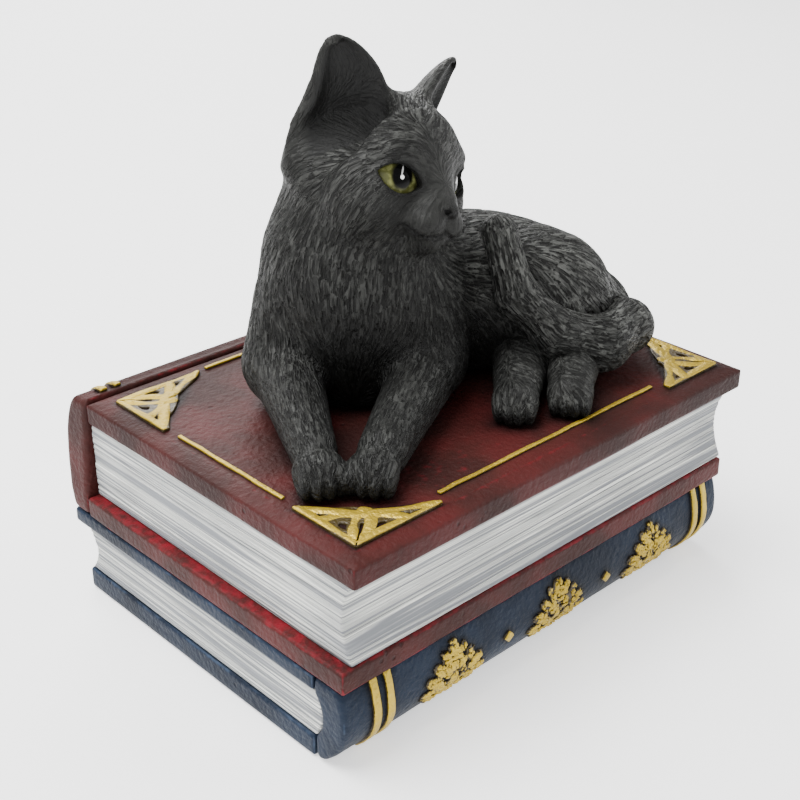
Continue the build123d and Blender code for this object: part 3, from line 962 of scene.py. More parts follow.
# ------------------------------------------------------------------ gilt work
def corner_of(name):
    """A corner piece's right angle, and its two legs with the way that they point."""
    low, high = extent("corner_ornament_" + name)
    inward = np.array([1 if name.endswith("left") else -1, 1 if name.startswith("front") else -1])
    return {"place": np.where(inward > 0, low[:2], high[:2]), "reach": (high - low)[:2] * inward}


CORNERS = {name: corner_of(name) for name in ("front_left", "front_right", "back_left", "back_right")}
GILT_LINES = ("gilt_line_front", "gilt_line_back", "gilt_line_left", "gilt_line_right")
GILT_WORK = {
    book: [f"{book}_band_pair_left", f"{book}_band_pair_right", f"{book}_lozenges"]
    + [f"{book}_foliage_{count}" for count in (1, 2, 3)]
    for book in ("lower_book", "upper_book")
}

# Bands of the knotwork, as shares of the two legs: start, pull, end, and the phase of its weave.
KNOT = (
    ((0.04, 0.04), (0.50, 0.03), (0.98, 0.02), 0.0),
    ((0.04, 0.04), (0.03, 0.50), (0.02, 0.98), 1.6),
    ((0.98, 0.02), (0.68, 0.17), (0.42, 0.38), 0.8),
    ((0.02, 0.98), (0.17, 0.68), (0.38, 0.42), 2.4),
    ((0.07, 0.10), (0.32, 0.10), (0.45, 0.42), 2.0),
    ((0.10, 0.07), (0.10, 0.32), (0.42, 0.45), 0.4),
    ((0.62, 0.03), (0.55, 0.24), (0.30, 0.45), 3.0),
    ((0.03, 0.62), (0.24, 0.55), (0.45, 0.30), 1.0),
)
BAND_HALF = 1.5
PLATE_TOP = 0.42  # the plate under the bands, above the board
KNOT_HOLES = ((0.66, 0.12), (0.12, 0.66), (0.36, 0.14), (0.14, 0.36))
HOLE_LONG, HOLE_WIDE = 0.085, 0.04
SPLIT = 0.27  # how far the split runs in from the corner
KNOT_STEPS = 9


def knot_paths(reach):
    """Each band of the knotwork as points in millimetres along it."""
    share = np.linspace(0, 1, KNOT_STEPS)[:, None]
    for start, pull, end, phase in KNOT:
        a, b, c = (np.array(point) * np.abs(reach) for point in (start, pull, end))
        yield a * (1 - share) ** 2 + 2 * b * share * (1 - share) + c * share**2, phase


def legs_of(points_xy, corner):
    """Points measured along a corner piece's two legs."""
    return (points_xy - corner["place"]) * np.sign(corner["reach"])


def path_distance(flat, path):
    """Distance to a path and the share along it."""
    best = np.full(flat.shape[:-1], 1e9, np.float32)
    along = np.zeros(flat.shape[:-1], np.float32)
    for count, (a, b) in enumerate(zip(path, path[1:])):
        step = b - a
        share = np.clip(((flat - a) @ step) / (step @ step), 0, 1)
        gap = np.sqrt(((flat - a - share[..., None] * step) ** 2).sum(-1))
        closer = gap < best
        best = np.where(closer, gap, best)
        along = np.where(closer, (count + share) / (len(path) - 1), along)
    return best, along


def ornament_outline(points_xy, corner):
    """How far a point is outside a corner piece's triangle."""
    flat = legs_of(points_xy, corner)
    reach = np.abs(corner["reach"])
    slant = (flat[..., 0] / reach[0] + flat[..., 1] / reach[1] - 0.98) * reach.min() * 0.7
    return np.maximum(slant, -flat.min(-1))


def ornament_field(corner):
    low_z = TOP_HIGH[2] - 0.4
    paths = list(knot_paths(corner["reach"]))
    reach = np.abs(corner["reach"])

    def field(p):
        flat = legs_of(p[..., :2], corner)
        share = flat / reach
        plate = (share.sum(-1) - 0.93 + 0.05 * np.cos(share[..., 0] * 3 * pi)) * reach.min() * 0.7
        for middle in KNOT_HOLES:
            size = (HOLE_LONG, HOLE_WIDE) if middle[0] > middle[1] else (HOLE_WIDE, HOLE_LONG)
            plate = np.maximum(plate, (1 - length((share - middle) / size)) * 1.2)
        d = overlap(plate, p[..., 2] - TOP_HIGH[2] - PLATE_TOP, 0.25)
        for path, phase in paths:
            gap, along = path_distance(flat, path)
            top = 0.7 + 0.15 * np.sin(along * 2 * pi + phase * 2)
            slab = p[..., 2] - TOP_HIGH[2] - top + 0.34 * (gap / BAND_HALF) ** 2
            tips = np.maximum(0, np.maximum(along, path[0].max() * (1 - along) / reach.max()) - 0.7) / 0.3
            taper = BAND_HALF * (1 - 0.7 * tips**2 * (path[[0, -1]].max() > 0.8 * reach.max()))
            d = np.minimum(d, overlap(gap - taper, slab, 0.3))
        ground = np.stack([flat[..., 0], flat[..., 1], 0 * d], -1)
        d = carve(d, limb(ground, (0, 0, 0), (*reach * SPLIT, 0), 0.1, 0.35), 0.3)
        edges = np.maximum(-flat.min(-1), (flat - reach).max(-1))
        d = overlap(d, edges, 0.3)
        return np.maximum(d, low_z - p[..., 2])

    return field


def on_board(points):
    """How far points stand above the board."""
    return points[:, 2] - TOP_HIGH[2]


def gilt_paint(stand, level):
    """Gold on what stands above a level, dark wash on the sides and in the recesses."""

    def paint(points, way):
        low = np.clip((level + 0.08 - stand(points)) / 0.16, 0, 1)
        chip = np.clip(grain(points, 1.3) - 0.5, 0, 1)
        move = 0.035 * grain(points, 0.9) + 0.03 * grain(points, 2.2)
        return move, {"recess": np.clip(0.9 * low + chip, 0, 1)}

    return paint


def gilt_line_field(node):
    low, high = extent(node)

    def field(p):
        wobble = 0.14 * grain(p * (0.35, 0.35, 0), 2.0)
        sunk = low - (0, 0, 0.4)
        return block(p + wobble[..., None] * (1, 1, 0), sunk, high - (0, 0, 0.05), 0.28) + 0.1

    return field


def facing(book):
    """For a book: its spine's face, and which way along Y is outward."""
    return (lower_face, -1) if book == "lower_book" else (upper_face, 1)


def proud(p, book):
    """How far points stand out of a book's spine, over its shoulder too on the upper book."""
    face, outward = facing(book)
    out = (p[..., 1] - face(p[..., 2])) * outward
    return overlap(out, p[..., 2] - BACK_HIGH[2] + 0.2, 2.0) if book == "upper_book" else out


def band_field(book, node):
    low, high = extent(node)
    width = 2.6

    def field(p):
        out = proud(p, book)
        x = p[..., 0]
        strips = np.minimum(np.abs(x - low[0] - width / 2), np.abs(x - high[0] + width / 2)) - width / 2
        strips = strips + 0.16 * grain(p, 3.0) + 0.3
        d = overlap(strips, out - 0.85, 0.5)
        d = np.maximum(d, -0.5 - out)
        top = high[2] if book == "lower_book" else BACK_HIGH[2] + 0.7
        d = np.maximum(d, np.maximum(low[2] - p[..., 2], p[..., 2] - top))
        return np.maximum(d, BACK_LOW[1] + 1.8 - p[..., 1]) if book == "upper_book" else d

    return field


# Leaves of half a sprig: out and up from its middle, lean in degrees, half length and half width.
HALF_SPRIG = (
    (0.0, 5.6, 0, 3.0, 1.7), (2.3, 4.2, 32, 2.8, 1.5), (0.0, 2.0, 0, 2.6, 1.6),
    (4.4, 1.8, 48, 3.0, 1.6), (2.4, 0.4, 20, 2.4, 1.4), (6.6, -0.6, 66, 3.2, 1.7),
    (8.2, -3.6, 88, 2.8, 1.6), (4.4, -2.8, 58, 2.6, 1.5), (0.0, -2.6, 0, 2.8, 1.5),
    (6.0, -5.8, 118, 2.7, 1.5), (2.4, -5.2, 150, 2.7, 1.5), (0.0, -6.6, 180, 2.0, 1.3),
)
SPRIG = HALF_SPRIG + tuple((-x, z, -lean, *sizes) for x, z, lean, *sizes in HALF_SPRIG if x)
SCROLLS = ((3.0, -0.9, 1.5), (-3.0, -0.9, 1.5), (0.0, 4.0, 1.3), (1.6, -3.9, 1.1), (-1.6, -3.9, 1.1))


def sprig_field(book, node):
    low, high = extent(node)
    middle_x, middle_z = (low[0] + high[0]) / 2, (low[2] + high[2]) / 2
    top = 0.95

    def field(p):
        out = proud(p, book)
        flat = np.stack([p[..., 0] - middle_x, p[..., 2] - middle_z], -1)
        d = np.full(p.shape[:-1], 9.0, np.float32)
        for x, z, lean, half_long, half_wide in SPRIG:
            a = radians(lean)
            along = (flat[..., 0] - x) * sin(a) + (flat[..., 1] - z) * cos(a)
            across = (flat[..., 0] - x) * cos(a) - (flat[..., 1] - z) * sin(a)
            q = np.stack([across, along, out], -1)
            leaf = ball(q, (0, 0, 0), (half_wide, half_long, top))
            vein = bell(across, 0.22) * 0.3 + 0.1 * np.sin(along * 5 + x)
            d = np.minimum(d, leaf + vein)
        for x, z, radius in SCROLLS:
            ring = np.abs(np.hypot(flat[..., 0] - x, flat[..., 1] - z) - radius)
            d = carve(d, np.hypot(ring, out - top) - 0.42, 0.25)
        chasing = bell(grain(p * (1, 0.3, 1), 1.5), 0.13) + bell(grain(p + 40, 2.1), 0.08)
        d = d + 0.65 * np.clip(chasing, 0, 1) * np.clip(-d * 3, 0, 1)
        bounds = np.maximum(low[2] - p[..., 2], p[..., 2] - high[2])
        return np.maximum(np.maximum(d, -0.5 - out), bounds)

    return field


def lozenge_field(book, node):
    low, high = extent(node)
    half = 1.8
    middle_z = (low[2] + high[2]) / 2

    def field(p):
        out = proud(p, book)
        z = np.abs(p[..., 2] - middle_z)
        left = np.abs(p[..., 0] - low[0] - half) + z
        right = np.abs(p[..., 0] - high[0] + half) + z
        d = np.minimum(left, right) * 0.7 - half * 0.68
        d = d + 0.1 * grain(p, 1.2)
        return np.maximum(overlap(d, out - 0.8, 0.7), -0.5 - out)

    return field


def relief_maker(node):
    """The function that makes a relief's field, by the kind of relief."""
    return band_field if "band" in node else sprig_field if "foliage" in node else lozenge_field


# ------------------------------------------------------------------ materials
def join(tree, value, socket):
    """Gives a socket a link or a plain value."""
    if isinstance(value, bpy.types.NodeSocket):
        tree.links.new(value, socket)
    else:
        socket.default_value = value


def join_all(tree, node, inputs):
    for key, value in inputs.items():
        join(tree, value, node.inputs[key])
    return node


def place(tree, kind, inputs=None, **settings):
    made = tree.nodes.new(kind)
    for key, value in settings.items():
        setattr(made, key, value)
    return join_all(tree, made, inputs or {})


def maths(tree, operation, first, second=0.0, clamp=False):
    made = place(tree, "ShaderNodeMath", operation=operation, use_clamp=clamp)
    join(tree, first, made.inputs[0])
    join(tree, second, made.inputs[1])
    return made.outputs[0]


def times(tree, first, second, clamp=False):
    return maths(tree, "MULTIPLY", first, second, clamp)


def plus(tree, first, second):
    return maths(tree, "ADD", first, second)


def less(tree, first, second):
    return maths(tree, "SUBTRACT", first, second)


def mixed(tree, share, first, second):
    """Two colours mixed by a share."""
    made = place(tree, "ShaderNodeMix", data_type="RGBA")
    join(tree, share, made.inputs[0])
    join(tree, first, made.inputs[6])
    join(tree, second, made.inputs[7])
    return made.outputs[2]


def ramped(tree, value, low, high):
    """A value spread from 0 at low to 1 at high."""
    inputs = {"Value": value, "From Min": low, "From Max": high}
    return place(tree, "ShaderNodeMapRange", inputs, interpolation_type="SMOOTHSTEP").outputs["Result"]


def mark(tree, name):
    return place(tree, "ShaderNodeAttribute", attribute_name=name).outputs["Fac"]


def own_place(tree):
    return place(tree, "ShaderNodeTexCoord").outputs["Object"]


def speckle(tree, scale, detail=2.0):
    """Noise from 0 to 1 over a piece."""
    inputs = {"Vector": own_place(tree), "Scale": scale, "Detail": detail}
    return place(tree, "ShaderNodeTexNoise", inputs).outputs["Fac"]


def group_tree(name, inputs, outputs):
    tree = bpy.data.node_groups.new(name, "ShaderNodeTree")
    for label, kind, default in inputs:
        tree.interface.new_socket(label, in_out="INPUT", socket_type=kind).default_value = default
    for label, kind in outputs:
        tree.interface.new_socket(label, in_out="OUTPUT", socket_type=kind)
    return tree, tree.nodes.new("NodeGroupInput").outputs, tree.nodes.new("NodeGroupOutput").inputs


def cast_grain_group():
    """Height of fine cast grain with scattered pits, and a mask of the pits."""
    tree, given, result = group_tree(
        "Cast grain",
        (("Scale", "NodeSocketFloat", 900.0), ("Pits", "NodeSocketFloat", 0.5)),
        (("Height", "NodeSocketFloat"), ("Pit Mask", "NodeSocketFloat")),
    )
    third = times(tree, given["Scale"], 0.35)
    cells = place(tree, "ShaderNodeTexVoronoi", {"Vector": own_place(tree), "Scale": third})
    pit = less(tree, 1.0, ramped(tree, cells.outputs["Distance"], 0.05, 0.2))
    pit = times(tree, pit, ramped(tree, speckle(tree, 60.0), 0.52, 0.66))
    pit = times(tree, pit, given["Pits"], clamp=True)
    join(tree, less(tree, speckle(tree, given["Scale"], 4.0), pit), result["Height"])
    join(tree, pit, result["Pit Mask"])
    return tree


def hand_paint_group():
    """Base coat, worn edges and shade, each broken up as brushed paint is."""
    tree, given, result = group_tree(
        "Hand paint",
        (
            ("Base", "NodeSocketColor", (0.5, 0.5, 0.5, 1)),
            ("Worn", "NodeSocketColor", (0.8, 0.8, 0.8, 1)),
            ("Dark", "NodeSocketColor", (0.1, 0.1, 0.1, 1)),
            ("Wear", "NodeSocketFloat", 0.0),
            ("Shade", "NodeSocketFloat", 0.0),
            ("Mottle", "NodeSocketFloat", 0.2),
        ),
        (("Color", "NodeSocketColor"), ("Streak", "NodeSocketFloat")),
    )
    broad, small = speckle(tree, 45.0, 5.0), speckle(tree, 420.0, 4.0)
    mottle = times(tree, ramped(tree, broad, 0.35, 0.72), given["Mottle"])
    body = mixed(tree, mottle, given["Base"], given["Dark"])
    lighter = times(tree, ramped(tree, broad, 0.58, 0.3), times(tree, given["Mottle"], 0.35))
    body = mixed(tree, lighter, body, given["Worn"])
    broken = plus(tree, given["Wear"], times(tree, less(tree, small, 0.5), 1.1))
    body = mixed(tree, ramped(tree, broken, 0.3, 0.95), body, given["Worn"])
    soft = plus(tree, given["Shade"], times(tree, less(tree, broad, 0.5), 0.35))
    dark = times(tree, ramped(tree, soft, 0.05, 0.95), 0.94)
    join(tree, mixed(tree, dark, body, given["Dark"]), result["Color"])
    join(tree, plus(tree, times(tree, broad, 0.6), times(tree, small, 0.4)), result["Streak"])
    return tree


def turned(tree, operation, first, second=(0.0, 0.0, 0.0), key="Vector"):
    """Vector maths; the second input may be a vector or, for a scale, a number."""
    made = place(tree, "ShaderNodeVectorMath", operation=operation)
    join(tree, first, made.inputs[0])
    join(tree, second, made.inputs["Scale" if operation == "SCALE" else 1])
    return made.outputs[key]


def carved_hair_group():
    """Ridges of short parallel hairs, in locks that follow the way that the coat lies."""
    tree, given, result = group_tree(
        "Carved hair",
        (
            ("Lie", "NodeSocketVector", (0, 0, -1)),
            ("Locks", "NodeSocketFloat", 260.0),
            ("Hairs", "NodeSocketFloat", 1500.0),
        ),
        (("Ridge", "NodeSocketFloat"), ("Lock", "NodeSocketFloat")),
    )
    where = own_place(tree)
    lock = place(tree, "ShaderNodeTexVoronoi", {"Vector": where, "Scale": given["Locks"]})
    from_root = turned(tree, "SUBTRACT", where, lock.outputs["Position"])
    along = turned(tree, "SCALE", given["Lie"], turned(tree, "DOT_PRODUCT", from_root, given["Lie"], "Value"))
    across = turned(tree, "SUBTRACT", from_root, along)
    spot = turned(tree, "ADD", across, turned(tree, "SCALE", along, 0.14))
    each_lock = turned(tree, "SCALE", lock.outputs["Color"], 40.0)
    spot = turned(tree, "ADD", turned(tree, "SCALE", spot, given["Hairs"]), each_lock)
    hairs = place(tree, "ShaderNodeTexNoise", {"Vector": spot, "Scale": 1.0, "Detail": 1.5}).outputs["Fac"]
    join(tree, ramped(tree, hairs, 0.36, 0.55), result["Ridge"])
    split = place(tree, "ShaderNodeSeparateColor", {"Color": lock.outputs["Color"]})
    join(tree, split.outputs["Red"], result["Lock"])
    return tree


def new_material(name):
    """A material, its node tree and its Principled shader."""
    material = bpy.data.materials.new(name)
    material.use_nodes = True
    tree = material.node_tree
    return material, tree, tree.nodes["Principled BSDF"]


def add_group(tree, name, maker, inputs):
    """A shared node group's outputs; the group is made when it is first asked for."""
    shared = bpy.data.node_groups.get(name) or maker()
    return place(tree, "ShaderNodeGroup", inputs, node_tree=shared).outputs


def cast_grain(tree, scale, pits):
    return add_group(tree, "Cast grain", cast_grain_group, {"Scale": scale, "Pits": pits})


def hand_paint(tree, base, worn_colour, dark, wear, shade, mottle):
    inputs = {"Base": base, "Worn": worn_colour, "Dark": dark, "Wear": wear, "Shade": shade, "Mottle": mottle}
    return add_group(tree, "Hand paint", hand_paint_group, inputs)


def carved_hair(tree, locks, hairs):
    lie = place(tree, "ShaderNodeAttribute", attribute_name="lie").outputs["Vector"]
    return add_group(tree, "Carved hair", carved_hair_group, {"Lie": lie, "Locks": locks, "Hairs": hairs})


def bumped(tree, shader, height, distance):
    bump = place(tree, "ShaderNodeBump", {"Height": height, "Distance": distance})
    tree.links.new(bump.outputs["Normal"], shader.inputs["Normal"])


def painted_cover(name, base, worn_colour, dark, roughness, coat):
    """A book cover's paint, used for both books."""
    material, tree, shader = new_material(name)
    surface = cast_grain(tree, 700.0, 0.7)
    paint = hand_paint(tree, base, worn_colour, dark, mark(tree, "wear"), mark(tree, "shade"), 0.5)
    rough = plus(tree, times(tree, paint["Streak"], 0.3), roughness - 0.15)
    join_all(tree, shader, {
        "Base Color": mixed(tree, times(tree, surface["Pit Mask"], 0.7), paint["Color"], dark),
        "Roughness": less(tree, rough, times(tree, mark(tree, "wear"), 0.14)),
        "Specular IOR Level": 0.1,
        "Coat Weight": coat,
        "Coat Roughness": 0.35,
    })
    bumped(tree, shader, surface["Height"], 0.0005)
    return material


def material_named(name, maker):
    return bpy.data.materials.get(name) or maker()


def maroon_material():
    tint = bpy.context.scene.keepsake_colours
    return painted_cover("maroon cover", tint.maroon, tint.maroon_worn, tint.maroon_dark, 0.55, 0.02)


def navy_material():
    tint = bpy.context.scene.keepsake_colours
    return painted_cover("navy cover", tint.navy, tint.navy_worn, tint.navy_dark, 0.5, 0.02)


def leaf_material():
    tint = bpy.context.scene.keepsake_colours
    material, tree, shader = new_material("leaf edges")
    fine = 0.0
    for across, up, share in ((8.0, 850.0, 0.85), (14.0, 1900.0, 0.5)):
        stretch = place(tree, "ShaderNodeMapping", {"Vector": own_place(tree), "Scale": (across, across, up)})
        inputs = {"Vector": stretch.outputs["Vector"], "Scale": 1.0, "Detail": 1.0}
        noise = place(tree, "ShaderNodeTexNoise", inputs)
        off = maths(tree, "ABSOLUTE", less(tree, noise.outputs["Fac"], 0.5))
        fine = maths(tree, "MAXIMUM", times(tree, ramped(tree, off, 0.13, 0.02), share), fine)
    wash = maths(tree, "MAXIMUM", times(tree, mark(tree, "groove"), 0.8), fine, clamp=True)
    shade = times(tree, mark(tree, "shade"), 0.7)
    # Painted shade where the leaves meet the boards, in the wash colour.
    paint = hand_paint(tree, tint.leaf, (1, 1, 1, 1), tint.leaf_wash_and_shade, 0.0, shade, 0.2)
    join_all(tree, shader, {
        "Base Color": mixed(tree, wash, paint["Color"], tint.leaf_wash_and_shade),
        "Roughness": plus(tree, times(tree, wash, 0.15), 0.55),
        "Specular IOR Level": 0.3,
    })
    bumped(tree, shader, less(tree, 1.0, fine), 0.0004)
    return material


def gilt_material():
    tint = bpy.context.scene.keepsake_colours
    material, tree, shader = new_material("gilt paint")
    surface = cast_grain(tree, 1100.0, 0.5)
    recess = ramped(tree, mark(tree, "recess"), 0.15, 0.9)
    paint = hand_paint(tree, tint.gilt, colour(232, 208, 104), tint.gilt_wash, 0.15, recess, 0.3)
    join_all(tree, shader, {
        "Base Color": paint["Color"],
        "Metallic": times(tree, less(tree, 1.0, recess), 0.55),
        "Roughness": plus(tree, times(tree, paint["Streak"], 0.25), 0.26),
    })
    bumped(tree, shader, surface["Height"], 0.0004)
    return material


def fur_material():
    """Charcoal with grey brushed over its ridges, most where the grey mark says; that mark adds painted top
    light on upward faces, and the dark mark is partly painted shade.
    """
    tint = bpy.context.scene.keepsake_colours
    material, tree, shader = new_material("black fur")
    surface = cast_grain(tree, 1300.0, 0.35)
    short, long = carved_hair(tree, 240.0, 1500.0), carved_hair(tree, 330.0, 1000.0)
    bare = less(tree, 1.0, times(tree, mark(tree, "smooth"), 0.8))
    ridge = times(tree, short["Ridge"], plus(tree, times(tree, long["Ridge"], 0.6), 0.4))
    ridge = plus(tree, times(tree, less(tree, ridge, 0.35), bare), 0.35)
    lock = plus(tree, times(tree, long["Lock"], 0.4), 0.7)
    raised = plus(tree, times(tree, ramped(tree, mark(tree, "lift"), 0.2, 1.0), 0.75), 0.25)
    # Grey from dry brushing, with painted top light on upward faces.
    brushed = times(tree, times(tree, ridge, raised), times(tree, mark(tree, "brush_and_light"), lock))
    # The dark mark is partly painted shade: near the board, in the ear cups and along the mouth.
    clear = less(tree, 1.0, times(tree, mark(tree, "dark"), 0.9))
    brushed = times(tree, brushed, clear, clamp=True)
    shade = times(tree, mark(tree, "dark"), 0.85)
    paint = hand_paint(tree, tint.fur_dark, tint.fur_light, (0.003, 0.003, 0.003, 1), 0.0, shade, 0.1)
    join_all(tree, shader, {
        "Base Color": mixed(tree, brushed, paint["Color"], tint.fur_light),
        "Roughness": plus(tree, times(tree, paint["Streak"], 0.2), 0.42),
        "Specular IOR Level": 0.16,
    })
    bumped(tree, shader, plus(tree, times(tree, surface["Height"], 0.25), ridge), 0.0006)
    return material


def eye_material():
    """A yellow-green eye with a tall pupil, a dark rim and a painted catch light."""
    tint = bpy.context.scene.keepsake_colours
    material, tree, shader = new_material("painted eye")
    across, up = mark(tree, "across"), mark(tree, "up")

    def round_mask(x, z, wide, tall, soft):
        u = maths(tree, "DIVIDE", less(tree, across, x), wide)
        v = maths(tree, "DIVIDE", less(tree, up, z), tall)
        reach = maths(tree, "SQRT", plus(tree, times(tree, u, u), times(tree, v, v)))
        return ramped(tree, reach, 1.0 + soft, 1.0 - soft)

    noise = speckle(tree, 700.0, 4.0)
    iris = mixed(tree, ramped(tree, noise, 0.42, 0.7), tint.iris, colour(122, 124, 78))
    rim = less(tree, 1.0, round_mask(0.0, -0.2, 5.3, 3.2, 0.14))
    body = mixed(tree, times(tree, rim, 0.9), iris, colour(14, 14, 12))
    pupil = round_mask(-0.6, 0.9, 2.9, 3.3, 0.2)
    body = mixed(tree, pupil, body, colour(6, 6, 6))
    sheen = round_mask(-0.2, 1.9, 0.2, 1.1, 0.4)
    body = mixed(tree, times(tree, sheen, 0.85), body, colour(205, 206, 205))
    catch_light = round_mask(-0.5, 0.5, 0.5, 0.5, 0.2)
    join_all(tree, shader, {
        "Base Color": mixed(tree, catch_light, body, (1, 1, 1, 1)),
        "Roughness": plus(tree, times(tree, noise, 0.1), 0.1),
        "Specular IOR Level": 0.12,
    })
    return material


def felt_material():
    tint = bpy.context.scene.keepsake_colours
    material, tree, shader = new_material("pad felt")
    fibre = speckle(tree, 1800.0, 6.0)
    join_all(tree, shader, {
        "Base Color": mixed(tree, ramped(tree, fibre, 0.35, 0.7), tint.felt, colour(62, 74, 66)),
        "Roughness": ramped(tree, fibre, -1.2, 1.0),
        "Sheen Weight": 0.4,
    })
    bumped(tree, shader, fibre, 0.0004)
    return material


def floor_material():
    material, tree, shader = new_material("studio floor")
    join_all(tree, shader, {
        "Base Color": mixed(tree, speckle(tree, 3.0), (0.84, 0.84, 0.84, 1), (0.88, 0.88, 0.88, 1)),
        "Roughness": 0.85,
        "Emission Color": (1, 1, 1, 1),
        "Emission Strength": 0.9,
    })
    return material


MAROON, NAVY, LEAF, GILT = "maroon cover", "navy cover", "leaf edges", "gilt paint"
LEAF_CELL = 0.3


# ------------------------------------------------------------------ operators
def coarser(cell):
    """The cell, unchanged."""
    return cell


class KEEPSAKE_OT_cat(bpy.types.Operator):
    """Sculpts the cat's head, body, tail, hind paws and eyes"""

    bl_idname = "keepsake.cat"
    bl_label = "Cat"

    def execute(self, context):
        cell = coarser(context.scene.keepsake_sizes.cat_cell)
        coat = material_named("black fur", fur_material)

        def cast(name, field, low, high, share, paint, *nodes):
            piece = sculpt(name, field, low, high, cell * share, paint, LID, True)
            hand_over(piece, "lid", "cat_black", coat, *nodes)

        cast(
            "cat_head_cast", head_part, (26, 24, 32), (98, 104, 95), 0.92, paint_cat,
            "cat_head", "cat_left_ear", "cat_right_ear",
        )
        cast(
            "cat_body_cast", body_part, (6, 8, -0.6), (136, 92, 66), 1.06, paint_cat,
            "cat_torso", "cat_haunch", "cat_left_foreleg", "cat_right_foreleg",
        )
        cast("cat_tail_cast", tail_field, (80, 14, -0.6), (132, 48, 46), 0.85, paint_tail, "cat_tail")
        paw_boxes = {"near": ((62, 12, -0.6), (100, 46, 14)), "far": ((76, 5, -0.6), (112, 38, 14))}
        for which, (low, high) in paw_boxes.items():
            name = f"cat_{which}_hind_paw"
            cast(name + "_cast", hind_paw_field(which), low, high, 0.8, paint_hind_paw(which), name)
        for name, side in (("right", -1), ("left", 1)):
            eye = eye_piece(f"cat_{name}_eyeball", side)
            hand_over(eye, "lid", "eye_gloss", material_named("painted eye", eye_material), f"cat_{name}_eye")
        return {"FINISHED"}


def add_board(name, body, slot, material, node, hollow=None, shade=None, glow=None):
    """One cover board, from its CAD node's own extent."""
    low, high = extent(node)
    cell = coarser(bpy.context.scene.keepsake_sizes.book_cell)
    paint = board_paint(low, high, shade, glow)
    piece = sculpt(name, board_field(low, high, hollow), low, high, cell, paint)
    hand_over(piece, body, slot, material, node)


def add_leaves(name, body, field, low, high, node):
    """One page block, with fine cells in height for its grooves."""
    cell = coarser(bpy.context.scene.keepsake_sizes.book_cell)
    leaves = sculpt(name, field, low, high, (cell, cell, LEAF_CELL), paint_pages)
    hand_over(leaves, body, "pages", material_named(LEAF, leaf_material), node)


def repaint(node, material):
    """Gives a CAD node that stays in view its material."""
    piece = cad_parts[node]
    piece.data.materials.clear()
    piece.data.materials.append(material)


class KEEPSAKE_OT_upper_book(bpy.types.Operator):
    """Makes the upper book: two boards, the page block and the rounded back"""

    bl_idname = "keepsake.upper_book"
    bl_label = "Upper Book"

    def execute(self, context):
        cover = material_named(MAROON, maroon_material)
        cell = coarser(context.scene.keepsake_sizes.book_cell)
        add_board(
            "upper_top_cover", "lid", "maroon_cover", cover, "upper_book_top_board",
            None, top_shade, top_glow,
        )
        add_board(
            "upper_seat_cover", "base", "maroon_cover", cover, "upper_book_lower_board",
            cavity_field, None, seat_glow,
        )
        paint = board_paint(BACK_LOW, BACK_HIGH, spine_shade("upper_book"))
        back = sculpt("upper_back_cover", upper_spine_field, BACK_LOW, BACK_HIGH, cell, paint)
        hand_over(back, "base", "maroon_cover", cover, "upper_book_spine")
        add_leaves("upper_leaves", "lid", upper_pages_field, LEAF_LOW, LEAF_HIGH, "upper_book_pages")
        repaint("lid_rim", cover)
        return {"FINISHED"}


class KEEPSAKE_OT_lower_book(bpy.types.Operator):
    """Makes the lower book: two boards, the page block, the spine and the felt pads"""

    bl_idname = "keepsake.lower_book"
    bl_label = "Lower Book"

    def execute(self, context):
        cover = material_named(NAVY, navy_material)
        cell = coarser(context.scene.keepsake_sizes.book_cell)
        add_board("lower_top_cover", "base", "navy_cover", cover, "lower_book_upper_board", cavity_field)
        add_board("lower_foot_cover", "base", "navy_cover", cover, "lower_book_lower_board")
        paint = board_paint(NAVY_LOW, NAVY_HIGH, spine_shade("lower_book"))
        spine = sculpt("lower_spine_cover", lower_spine_field, NAVY_LOW, NAVY_HIGH, cell, paint)
        hand_over(spine, "base", "navy_cover", cover, "lower_book_spine")
        add_leaves("lower_leaves", "base", lower_pages_field, LOWLEAF_LOW, LOWLEAF_HIGH, "lower_book_pages")
        repaint("felt_pads", material_named("pad felt", felt_material))
        return {"FINISHED"}


class KEEPSAKE_OT_gilt(bpy.types.Operator):
    """Lays the gilt corner knots, lines, bands, sprigs and lozenges"""

    bl_idname = "keepsake.gilt"
    bl_label = "Gilt Work"

    def execute(self, context):
        gold = material_named(GILT, gilt_material)
        cell = coarser(context.scene.keepsake_sizes.gilt_cell)
        knots = [("corner_ornament_" + name, ornament_field(corner)) for name, corner in CORNERS.items()]
        lines = [(node, gilt_line_field(node)) for node in GILT_LINES]
        flat_work = [(*knot, "_knot", 0.5) for knot in knots] + [(*line, "_inlay", 0.05) for line in lines]
        for node, field, ending, level in flat_work:
            low, high = extent(node)
            piece = sculpt(node + ending, field, low - (0, 0, 0.5), high, cell, gilt_paint(on_board, level))
            hand_over(piece, "lid", "gilt", gold, node)
        for book, works in GILT_WORK.items():
            for node in works:
                low, high = extent(node)
                reach = np.array((0.6, 7, 1.6) if book == "upper_book" else (0.6, 2, 0.6))
                field = relief_maker(node)(book, node)
                paint = gilt_paint(lambda points, book=book: proud(points, book), 0.45)
                piece = sculpt(node + "_relief", field, low - reach, high + reach, cell, paint)
                hand_over(piece, "base", "gilt", gold, node)
        return {"FINISHED"}


FLOOR_HALF = 4.0
LAMP_AIM = Vector((0, 0, 0.06))
LAMPS = (  # name, place in metres, watts, width
    ("key", (-0.35, 0.25, 0.95), 27.0, 0.8),
    ("fill", (-0.95, -0.75, 0.55), 9.0, 0.9),
    ("side", (0.9, -0.5, 0.6), 8.0, 0.8),
    ("rim", (0.5, 0.9, 0.6), 11.0, 0.6),
)
WORLD_STRENGTH = 0.5
CAMERA_PLACE = (-0.22205, -0.23355, 0.2157)
CAMERA_AZIMUTH = -43.35
CAMERA_ELEVATION = 27.11
CAMERA_LENS = 61.17


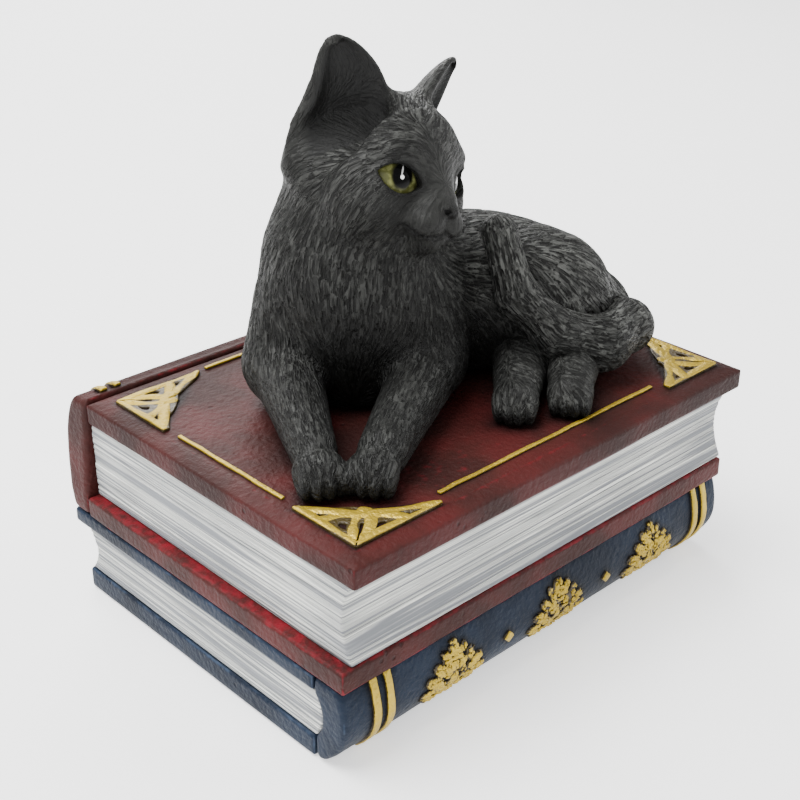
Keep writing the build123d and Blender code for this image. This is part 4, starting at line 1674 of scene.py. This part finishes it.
class KEEPSAKE_OT_stage(bpy.types.Operator):
    """Sets the pale floor, the soft lights and the camera"""

    bl_idname = "keepsake.stage"
    bl_label = "Stage"

    def execute(self, context):
        scene = context.scene
        mesh = bpy.data.meshes.new("floor")
        corners = [(x * FLOOR_HALF, y * FLOOR_HALF, 0) for x, y in ((-1, -1), (1, -1), (1, 1), (-1, 1))]
        mesh.from_pydata(corners, [], [(0, 1, 2, 3)])
        floor = bpy.data.objects.new("floor", mesh)
        scene.collection.objects.link(floor)
        mesh.materials.append(floor_material())
        for name, place_at, power, wide in LAMPS:
            lamp = bpy.data.lights.new(name, "AREA")
            lamp.energy = power
            lamp.size = wide
            light = bpy.data.objects.new(name, lamp)
            light.location = place_at
            aim = LAMP_AIM - light.location
            light.rotation_euler = aim.to_track_quat("-Z", "Y").to_euler()
            scene.collection.objects.link(light)
        world = scene.world or bpy.data.worlds.new("world")
        scene.world = world
        world.use_nodes = True
        sky = world.node_tree.nodes["Background"]
        sky.inputs["Color"].default_value = (1, 1, 1, 1)
        sky.inputs["Strength"].default_value = WORLD_STRENGTH
        lens = bpy.data.cameras.new("camera")
        lens.lens = CAMERA_LENS
        lens.sensor_width = 36
        camera = bpy.data.objects.new("camera", lens)
        a, e = radians(CAMERA_AZIMUTH), radians(CAMERA_ELEVATION)
        back = Vector((sin(a) * cos(e), -cos(a) * cos(e), sin(e)))
        camera.location = CAMERA_PLACE
        camera.rotation_euler = (-back).to_track_quat("-Z", "Y").to_euler()
        scene.collection.objects.link(camera)
        scene.camera = camera
        return {"FINISHED"}


class KEEPSAKE_PT_panel(bpy.types.Panel):
    """Buttons for each group of pieces, and their sizes and colours"""

    bl_idname = "KEEPSAKE_PT_panel"
    bl_label = "Keepsake Box"
    bl_space_type = "VIEW_3D"
    bl_region_type = "UI"
    bl_category = "Keepsake"

    def draw(self, context):
        for operator in OPERATORS:
            self.layout.operator(operator.bl_idname)
        for settings in (context.scene.keepsake_sizes, context.scene.keepsake_colours):
            box = self.layout.box()
            for name in type(settings).__annotations__:
                box.prop(settings, name)


OPERATORS = (
    KEEPSAKE_OT_stage,
    KEEPSAKE_OT_lower_book,
    KEEPSAKE_OT_upper_book,
    KEEPSAKE_OT_gilt,
    KEEPSAKE_OT_cat,
)
CLASSES = (KeepsakeSizes, KeepsakeColours, *OPERATORS, KEEPSAKE_PT_panel)


def register():
    for made in CLASSES:
        bpy.utils.register_class(made)
    bpy.types.Scene.keepsake_sizes = bpy.props.PointerProperty(type=KeepsakeSizes)
    bpy.types.Scene.keepsake_colours = bpy.props.PointerProperty(type=KeepsakeColours)


def unregister():
    del bpy.types.Scene.keepsake_colours
    del bpy.types.Scene.keepsake_sizes
    for made in reversed(CLASSES):
        bpy.utils.unregister_class(made)


def main():
    register()
    bpy.ops.keepsake.stage()
    bpy.ops.keepsake.lower_book()
    bpy.ops.keepsake.upper_book()
    bpy.ops.keepsake.gilt()
    bpy.ops.keepsake.cat()


if __name__ == "__main__":
    main()
